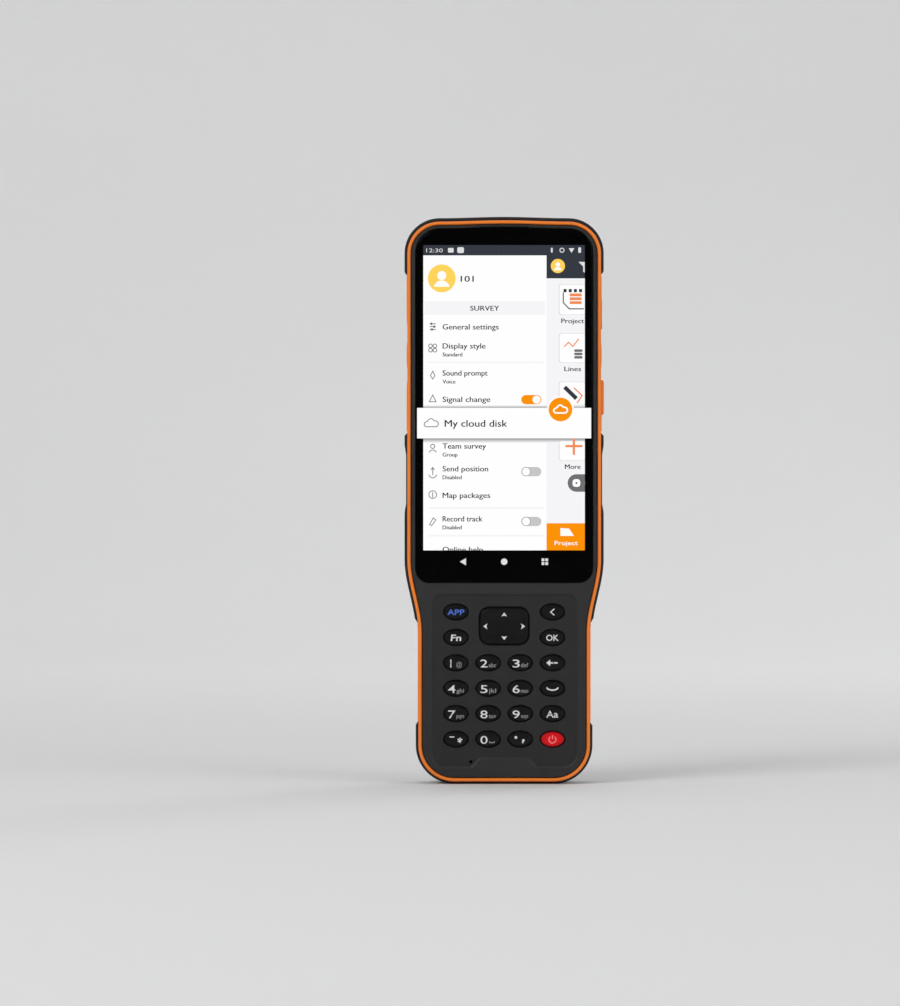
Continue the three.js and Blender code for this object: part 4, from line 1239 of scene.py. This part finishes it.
legend("key_power", INK_PINK, stroke(arc(x, z - 0.1, 1.35, 130, 410, 28), 0.42, 0),
       stroke([[x, z + 0.1], [x, z + 1.6]], 0.42, 0))

# %% [markdown]
# The four arrows lie in the dish of the pad, so their depth is read from the pad's own profile at the same distance
# from its edge.

# %% Pad arrows
def pad_face(points):
    inset, depth = np.array([step for step in pad_rings() if step[0] > 0]).T
    return np.interp(distance_to(points, pad_outline()), inset, depth)


ARROW = np.array([[1.12, -0.78], [0.0, 0.82], [-1.12, -0.78], [0.0, -0.42]])
arrows = []
for quarter, (dx, dz) in enumerate([(0, 4.6), (-7.3, 0), (0, -4.5), (7.3, 0)]):
    c, s = [(1, 0), (0, 1), (-1, 0), (0, -1)][quarter]
    arrows.append(mark(ARROW @ np.array([[c, s], [-s, c]]) + [dx, PAD_Z - 0.1 + dz], 0))
points, faces = finer(joined(*arrows), 0.3)
points[:, 1] += pad_face(points[:, [0, 2]]) - 0.012
piece("pad_arrows", (points, faces), INK_WHITE, "dpad_cap_body")

# %% [markdown]
# ## The picture on the screen
# The screen shows a plain menu: a drawer with rows of settings, a strip of tiles behind it, a wide banner and three
# navigation marks. Each colour is one piece, made of flat plates at a few levels, so the order of the levels
# decides what covers what.

# %% Screen: levels and colours
GLASS_Y = -10.7
SLATE = lit("screen slate", linear(53, 57, 66))
WHITE = lit("screen white", linear(254, 254, 254))
PALE = lit("screen pale", linear(245, 245, 248))
SHADOW = lit("screen shadow", linear(198, 198, 200))
TEXT = lit("screen text", linear(30, 30, 32))
GREY = lit("screen grey", linear(112, 112, 114))
AMBER = lit("screen amber", linear(252, 146, 4))
CORAL = lit("screen coral", linear(243, 140, 84))
UPPER_FADE = lit_fade("screen upper fade", linear(150, 150, 152), linear(250, 250, 251), "Z", 145.7, 146.9)
LOWER_FADE = lit_fade("screen lower fade", linear(250, 250, 251), linear(140, 140, 142), "Z", 132.2, 134.0)
GOLD = lit("screen gold", linear(255, 212, 92))
NAV = lit("screen marks", linear(222, 222, 222))


def level(number):
    """Depth of a level on the glass: each lies 0.02 in front of the one before."""
    return GLASS_Y - 0.004 - 0.02 * number


LEFT, RIGHT, TOP, FOOT, SPLIT, BAR_FOOT_Z = -31.35, 31.25, 208.9, 90.6, 16.4, 204.9
screen = {"slate": [panel(LEFT, BAR_FOOT_Z, RIGHT, TOP, level(0)), panel(SPLIT, 196.0, RIGHT, BAR_FOOT_Z, level(0))]}
screen["white"] = [panel(LEFT, FOOT, SPLIT, BAR_FOOT_Z, level(0))]
screen["pale"] = [panel(SPLIT, 101.1, RIGHT, 196.0, level(0)), panel(LEFT + 0.5, 181.9, SPLIT - 0.6, 187.1, level(1))]
screen["pale"] += [panel(LEFT + 2.0, z - 0.35, SPLIT - 0.8, z + 0.35, level(1)) for z in (163.5, 107.0, 96.3)]
screen["amber"] = [panel(SPLIT, FOOT, RIGHT, 101.1, level(0))]
screen["upper fade"] = [panel(LEFT, 145.6, RIGHT, 146.8, level(2.5))]
screen["lower fade"] = [panel(LEFT, 132.2, RIGHT, 134.2, level(2.5))]
for colour in ("text", "grey", "gold", "nav", "shadow", "coral"):
    screen[colour] = []

# %% Screen: rows of the drawer
ROW_TEXT = [
    ("General settings", None, 177.3, 21.7),
    ("Display style", "Standard", 169.9, 16.6),
    ("Sound prompt", "Voice", 159.4, 17.4),
    ("Signal change", None, 149.2, 18.4),
    ("Team survey", "Group", 131.1, 16.8),
    ("Send position", "Disabled", 122.3, 17.6),
    ("Map packages", None, 112.0, 18.4),
    ("Record track", "Disabled", 102.9, 15.4),
]
for words, under, z, width in ROW_TEXT:
    screen["text"].append(strong(words, -23.9, z, 2.2, level(3), width=width))
    if under:
        screen["text"].append(strong(under, -23.9, z - 3.35, 1.6, level(3)))
screen["text"].append(strong("Online help", -23.9, 91.0, 2.2, level(3), width=15.6))
screen["black"] = [panel(LEFT - 0.3, 88.3, SPLIT - 0.1, FOOT, level(5))]
for z in (149.0, 121.1, 101.8):
    on = z > 140
    screen["amber" if on else "shadow"].append(panel(6.6, z - 1.8, 14.4, z + 1.8, level(3), 1.78))
    screen["white"].append(disc(12.5 if on else 8.5, z, 1.55, level(4)))
    if not on:
        screen["grey"].append(stroke(arc(8.5, z, 1.65, 0, 360, 28)[:-1], 0.16, level(4), closed=True))

# %% [markdown]
# The icons are a few strokes each: sliders, four rings, a drop, a bell, a cloud, a person, an arrow in a tray, a
# globe and a pen. They only have to read as icons at this size.

# %% Screen: icons of the drawer
ICON_X = -27.7


def icon(paths, width=0.32, kind="grey", number=3):
    screen[kind] += [stroke(path, width, level(number), closed) for path, closed in paths]


def ring_path(x, z, radius, steps=20):
    return arc(x, z, radius, 0, 360, steps)[:-1], True


icon([([[ICON_X - 1.2, 177.3 + d], [ICON_X + 1.2, 177.3 + d]], False) for d in (-1.1, 0, 1.1)])
icon([ring_path(ICON_X + dx, 177.3 + dz, 0.35, 10) for dx, dz in [(-0.5, 1.1), (0.6, 0), (-0.3, -1.1)]], 0.3)
icon([ring_path(ICON_X + dx, 169.0 + dz, 0.72, 14) for dx in (-0.85, 0.85) for dz in (-0.85, 0.85)])
icon([([[ICON_X, 160.0], [ICON_X + 0.9, 158.3], [ICON_X, 157.0], [ICON_X - 0.9, 158.3]], True)])
bell = [[-1.3, 148.2], [-0.9, 149.0], [0, 150.8], [0.9, 149.0], [1.3, 148.2]]
icon([([[ICON_X + dx, z] for dx, z in bell], True)])
icon([ring_path(ICON_X, 130.9, 0.8, 16), (arc(ICON_X, 128.0, 1.5, 20, 160, 12), False)])
icon([([[ICON_X, 122.6], [ICON_X, 119.8]], False), (arc(ICON_X, 120.2, 1.5, 190, 350, 12), False)])
icon([([[ICON_X - 0.7, 121.8], [ICON_X, 122.7], [ICON_X + 0.7, 121.8]], False)])
icon([ring_path(ICON_X, 112.2, 1.5), ([[ICON_X, 111.0], [ICON_X, 113.2]], False)])
icon([([[ICON_X - 1.2, 100.6], [ICON_X + 0.2, 103.2], [ICON_X + 1.2, 102.4], [ICON_X - 0.4, 100.2]], True)])


def cloud(x, z, width):
    """A cloud outline: three arcs on a flat base, scaled to the width."""
    unit = width / 6.0
    left = arc(x - 1.9 * unit, z - 0.5 * unit, 1.0 * unit, 270, 110, 8)
    middle = arc(x - 0.1 * unit, z + 0.5 * unit, 1.35 * unit, 160, 25, 10)
    right = arc(x + 1.8 * unit, z - 0.3 * unit, 1.2 * unit, 80, -90, 9)
    return np.concatenate([left, middle, right])


# %% Screen: banner, portrait and tiles
screen["white"].append(panel(-33.75, 134.0, 33.7, 145.8, level(5)))
icon([(cloud(-28.3, 139.9, 5.6), True)], 0.34, "grey", 6)
screen["text"].append(strong("My cloud disk", -23.1, 139.9, 2.8, level(6), width=24.2))
screen["text"].append(strong("SURVEY", -7.6, 184.5, 2.0, level(3), "CENTER", 11.2))
screen["white"].append(disc(21.8, 145.2, 5.2, level(6), 48))
screen["amber"].append(disc(21.8, 145.2, 4.6, level(7), 48))
screen["white"].append(stroke(cloud(21.8, 145.2, 5.4), 0.6, level(8), True))

screen["gold"] += [disc(-24.2, 196.0, 5.4, level(1), 48), disc(20.8, 200.8, 2.75, level(1), 32)]
for x, z, size in [(-24.2, 196.0, 1.0), (20.8, 200.8, 0.5)]:
    screen["white"].append(disc(x, z + 1.1 * size, 1.75 * size, level(2), 28))
    shoulders_arc = arc(x, z - 3.9 * size, 3.1 * size, 12, 168, 20)
    screen["white"].append(mark(shoulders_arc, level(2)))
screen["text"].append(strong("101", -16.9, 195.9, 2.4, level(3), width=5.0))
funnel = [[28.8, 202.4], [31.2, 202.4], [31.2, 198.2], [30.6, 198.6], [30.6, 200.6]]
screen["nav"].append(mark(np.array(funnel)[::-1], level(1)))

TILES = [(193.6, 182.0, "Project"), (174.6, 163.4, "Lines"), (155.8, 147.0, None), (132.9, 125.5, "More")]
for high, low, label in TILES:
    screen["shadow"].append(panel(21.2, low - 0.12, RIGHT, high + 0.12, level(2), 0.9))
    screen["white"].append(panel(21.4, low, RIGHT, high, level(3), 0.9))
    if label:
        width = {"Project": 8.8, "Lines": 6.4, "More": 6.0}[label]
        screen["text"].append(strong(label, 26.5, low - 2.4, 1.9, level(3), "CENTER", width))
for x in (23.6, 25.6, 27.6, 29.6):
    screen["slate"].append(panel(x - 0.6, 190.6, x + 0.6, 191.9, level(4), 0.3))
icon([([[22.9, 190.6], [22.9, 186.6], [25.2, 184.2], [30.9, 184.2]], False)], 0.5, "grey", 4)
for z in (186.6, 188.1, 189.6):
    icon([([[25.4, z], [30.0, z]], False)], 1.1, "coral", 4)
icon([([[23.2, 169.5], [25.0, 171.2], [26.6, 169.6], [28.9, 172.6]], False)], 0.45, "coral", 4)
screen["grey"] += [panel(27.1, z - 0.5, 30.4, z + 0.5, level(4), 0.45) for z in (165.4, 166.7, 168.0)]
icon([([[23.4, 153.9], [28.0, 149.4]], False)], 1.6, "slate", 4)
icon([([[27.0, 153.6], [30.2, 150.6], [28.2, 147.6]], False)], 0.5, "coral", 4)
icon([([[27.0, 134.2], [27.0, 127.6]], False), ([[23.7, 131.0], [30.3, 131.0]], False)], 0.9, "coral", 4)
screen["grey"] += [disc(28.0, 116.7, 3.4, level(2), 40), panel(28.0, 113.3, RIGHT, 120.1, level(2))]
screen["white"].append(panel(26.5, 115.2, 29.5, 118.2, level(3), 1.1))
screen["grey"].append(disc(28.0, 116.7, 0.4, level(4), 16))
screen["white"].append(mark(np.array([[21.8, 96.2], [27.0, 96.2], [25.2, 99.0], [21.8, 99.3]]), level(1)))
screen["white"].append(lettering("Project", 24.0, 93.5, 1.7, level(1), "CENTER", 9.0, 0.01))

# %% Screen: status and navigation marks
screen["nav"].append(lettering("12:30", -30.2, 206.9, 1.6, level(1), width=6.4))
screen["nav"] += [panel(-21.8, 206.0, -19.6, 207.8, level(1), 0.4), panel(-18.2, 205.8, -15.6, 208.1, level(1), 0.6)]
screen["nav"] += [panel(18.1, 206.0, 18.8, 207.9, level(1), 0.3),
                  stroke(arc(22.4, 206.9, 0.8, 0, 360, 20)[:-1], 0.35, level(1), True),
                  mark(np.array([[26.1, 205.9], [27.2, 207.7], [25.0, 207.7]]), level(1)),
                  panel(28.7, 205.9, 29.8, 208.0, level(1), 0.3)]
NAV_Z, GRID_X = 86.2, 15.75
back_arrow = np.array([[-17.2, NAV_Z], [-14.8, NAV_Z - 1.4], [-14.8, NAV_Z + 1.4]])
screen["nav"] += [mark(back_arrow, level(0)), disc(0.0, NAV_Z, 1.25, level(0))]
screen["nav"] += [panel(GRID_X + dx - 0.55, NAV_Z + dz - 0.55, GRID_X + dx + 0.55, NAV_Z + dz + 0.55, level(0), 0.15)
                  for dx in (-0.72, 0.72) for dz in (-0.72, 0.72)]
LIGHTS = {"slate": SLATE, "white": WHITE, "pale": PALE, "shadow": SHADOW, "text": TEXT, "grey": GREY, "amber": AMBER,
          "gold": GOLD, "nav": NAV, "black": GLASS_BLACK, "coral": CORAL, "upper fade": UPPER_FADE,
          "lower fade": LOWER_FADE}
for colour, shapes in screen.items():
    piece("picture_" + colour.replace(" ", "_"), joined(*shapes), LIGHTS[colour], "case")

# %% [markdown]
# ## Marks on the back
# A small printed sign of a contactless reader: two arcs to each side, in a print only a little darker than the
# plastic.

# %% Reader sign on the back
def back_mark(shape):
    """Marks are drawn for the front; turning them about Z by half a turn lays them on the back."""
    points, faces = shape
    return points * [-1, -1, 1], faces


sign = [stroke(arc(0.9 + side * reach, 196.6, radius, turn - 65, turn + 65, 18), 0.55, 0)
        for side, turn in ((1, 0), (-1, 180)) for reach, radius in ((0.0, 4.4), (0.0, 2.8))]
points, faces = joined(*sign)
points[:, 1] += -PANEL_Y - 0.004
piece("reader_sign", back_mark((points, faces)), INK_DARK, "case")

# %% [markdown]
# ## Pieces that stay as they are
# What is inside keeps its solid shape and only needs its finish. The same finishes are used again, so a board looks
# like a board when the case is taken apart.

# %% Finishes for the inner pieces
INNER = {
    "chassis_plate": ALLOY, "main_board": BOARD, "keypad_board": BOARD, "battery_pack": WRAP,
    "display_module": PANEL_BACK, "keypad_mat": SILICONE, "housing_seal": SILICONE, "dpad_rocker": SILICONE,
    "speaker": MODULE, "earpiece": MODULE, "camera_module": MODULE, "usb_socket": SOCKET,
}
for node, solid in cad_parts.items():
    finish = STEEL if node.startswith("case_screw") else INNER.get(node)
    if finish:
        solid.data.materials.clear()
        solid.data.materials.append(finish)
print("inner pieces finished:", len(INNER) + len(SEATS))

# %% [markdown]
# ## Floor, light and camera
# A pale bowl, flat in the middle and rising all round, hides the horizon from every side. A broad ceiling lamp does
# most of the work; a key from the upper left and a weaker fill from the right shape the front, a lamp behind keeps
# the back readable, and one more washes the wall. The camera stands straight in front with a long lens, so that the
# sides stay parallel.

# %% Stage
WALL, WALL_TOP, BEND, AROUND = 2.6, 3.2, 1.25, 96


def bowl():
    """A profile (radius, z) turned about Z: flat floor, a quarter circle of radius BEND, then a wall."""
    turns = np.linspace(0, math.pi / 2, 25)
    bend = np.column_stack([WALL - BEND + BEND * np.sin(turns), BEND - BEND * np.cos(turns)])
    profile = np.concatenate([[[0.4, 0.0], [0.9, 0.0]], bend, [[WALL, 2.0], [WALL, WALL_TOP]]])
    around = np.arange(AROUND) * 2 * math.pi / AROUND
    rings = np.stack([np.column_stack([r * np.cos(around), r * np.sin(around), np.full(AROUND, z)])
                      for r, z in profile])
    points, faces = loft(rings)
    mesh = bpy.data.meshes.new("bowl")
    mesh.from_pydata(points.tolist(), [], [face[::-1] for face in faces[:-1]])
    mesh.polygons.foreach_set("use_smooth", np.ones(len(mesh.polygons), bool))
    paper = Finish("pale paper")
    paper.set("Base Color", paper.blend(paper.noise(400, 2), linear(230, 230, 230), linear(234, 234, 234)))
    paper.set("Roughness", 0.9 + paper.noise(5, 2) * 0.05)
    mesh.materials.append(paper.material)
    floor = bpy.data.objects.new("bowl", mesh)
    bpy.context.scene.collection.objects.link(floor)
    floor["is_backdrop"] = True


bowl()


def lamp(name, place, aim, size, power):
    data = bpy.data.lights.new(name, "AREA")
    data.size = size
    data.energy = power
    holder = bpy.data.objects.new(name, data)
    holder.location = place
    holder.rotation_euler = (Vector(aim) - Vector(place)).to_track_quat("-Z", "Y").to_euler()
    bpy.context.scene.collection.objects.link(holder)


AIM = (0, 0, 0.11)
lamp("key", (-0.9, -1.0, 1.1), AIM, 0.7, 9)
lamp("fill", (1.2, -0.9, 0.6), AIM, 0.9, 5)
lamp("ceiling", (0, 0.3, 2.9), (0, 0.3, 0), 2.6, 20)
lamp("rear", (1.1, 1.3, 1.0), AIM, 0.6, 4)
lamp("wash", (0, 1.0, 1.5), (0, 2.6, 0.5), 1.2, 6.5)
world = bpy.data.worlds.new("studio")
world.use_nodes = True
world.node_tree.nodes["Background"].inputs["Color"].default_value = linear(235, 237, 240)
world.node_tree.nodes["Background"].inputs["Strength"].default_value = 0.2
bpy.context.scene.world = world
bpy.context.scene.view_settings.view_transform = "Standard"

# %% Camera
DISTANCE, FRAME_HEIGHT = 1.6, 0.3898
FRONT_FACE, ASIDE, EYE_HEIGHT = 0.011, -0.021, 0.10895
lens = bpy.data.cameras.new("camera")
lens.sensor_width = 36.0
lens.lens = lens.sensor_width * (DISTANCE - FRONT_FACE) / FRAME_HEIGHT
camera = bpy.data.objects.new("camera", lens)
camera.location = (ASIDE, -DISTANCE, EYE_HEIGHT)
camera.rotation_euler = (math.pi / 2, 0, 0)
bpy.context.scene.collection.objects.link(camera)
bpy.context.scene.camera = camera

# %% Sizes and the end
low, high = (list(corner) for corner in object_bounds())
print("box of the visual model, mm:", np.round(np.array([low, high]) * 1000, 2).tolist())
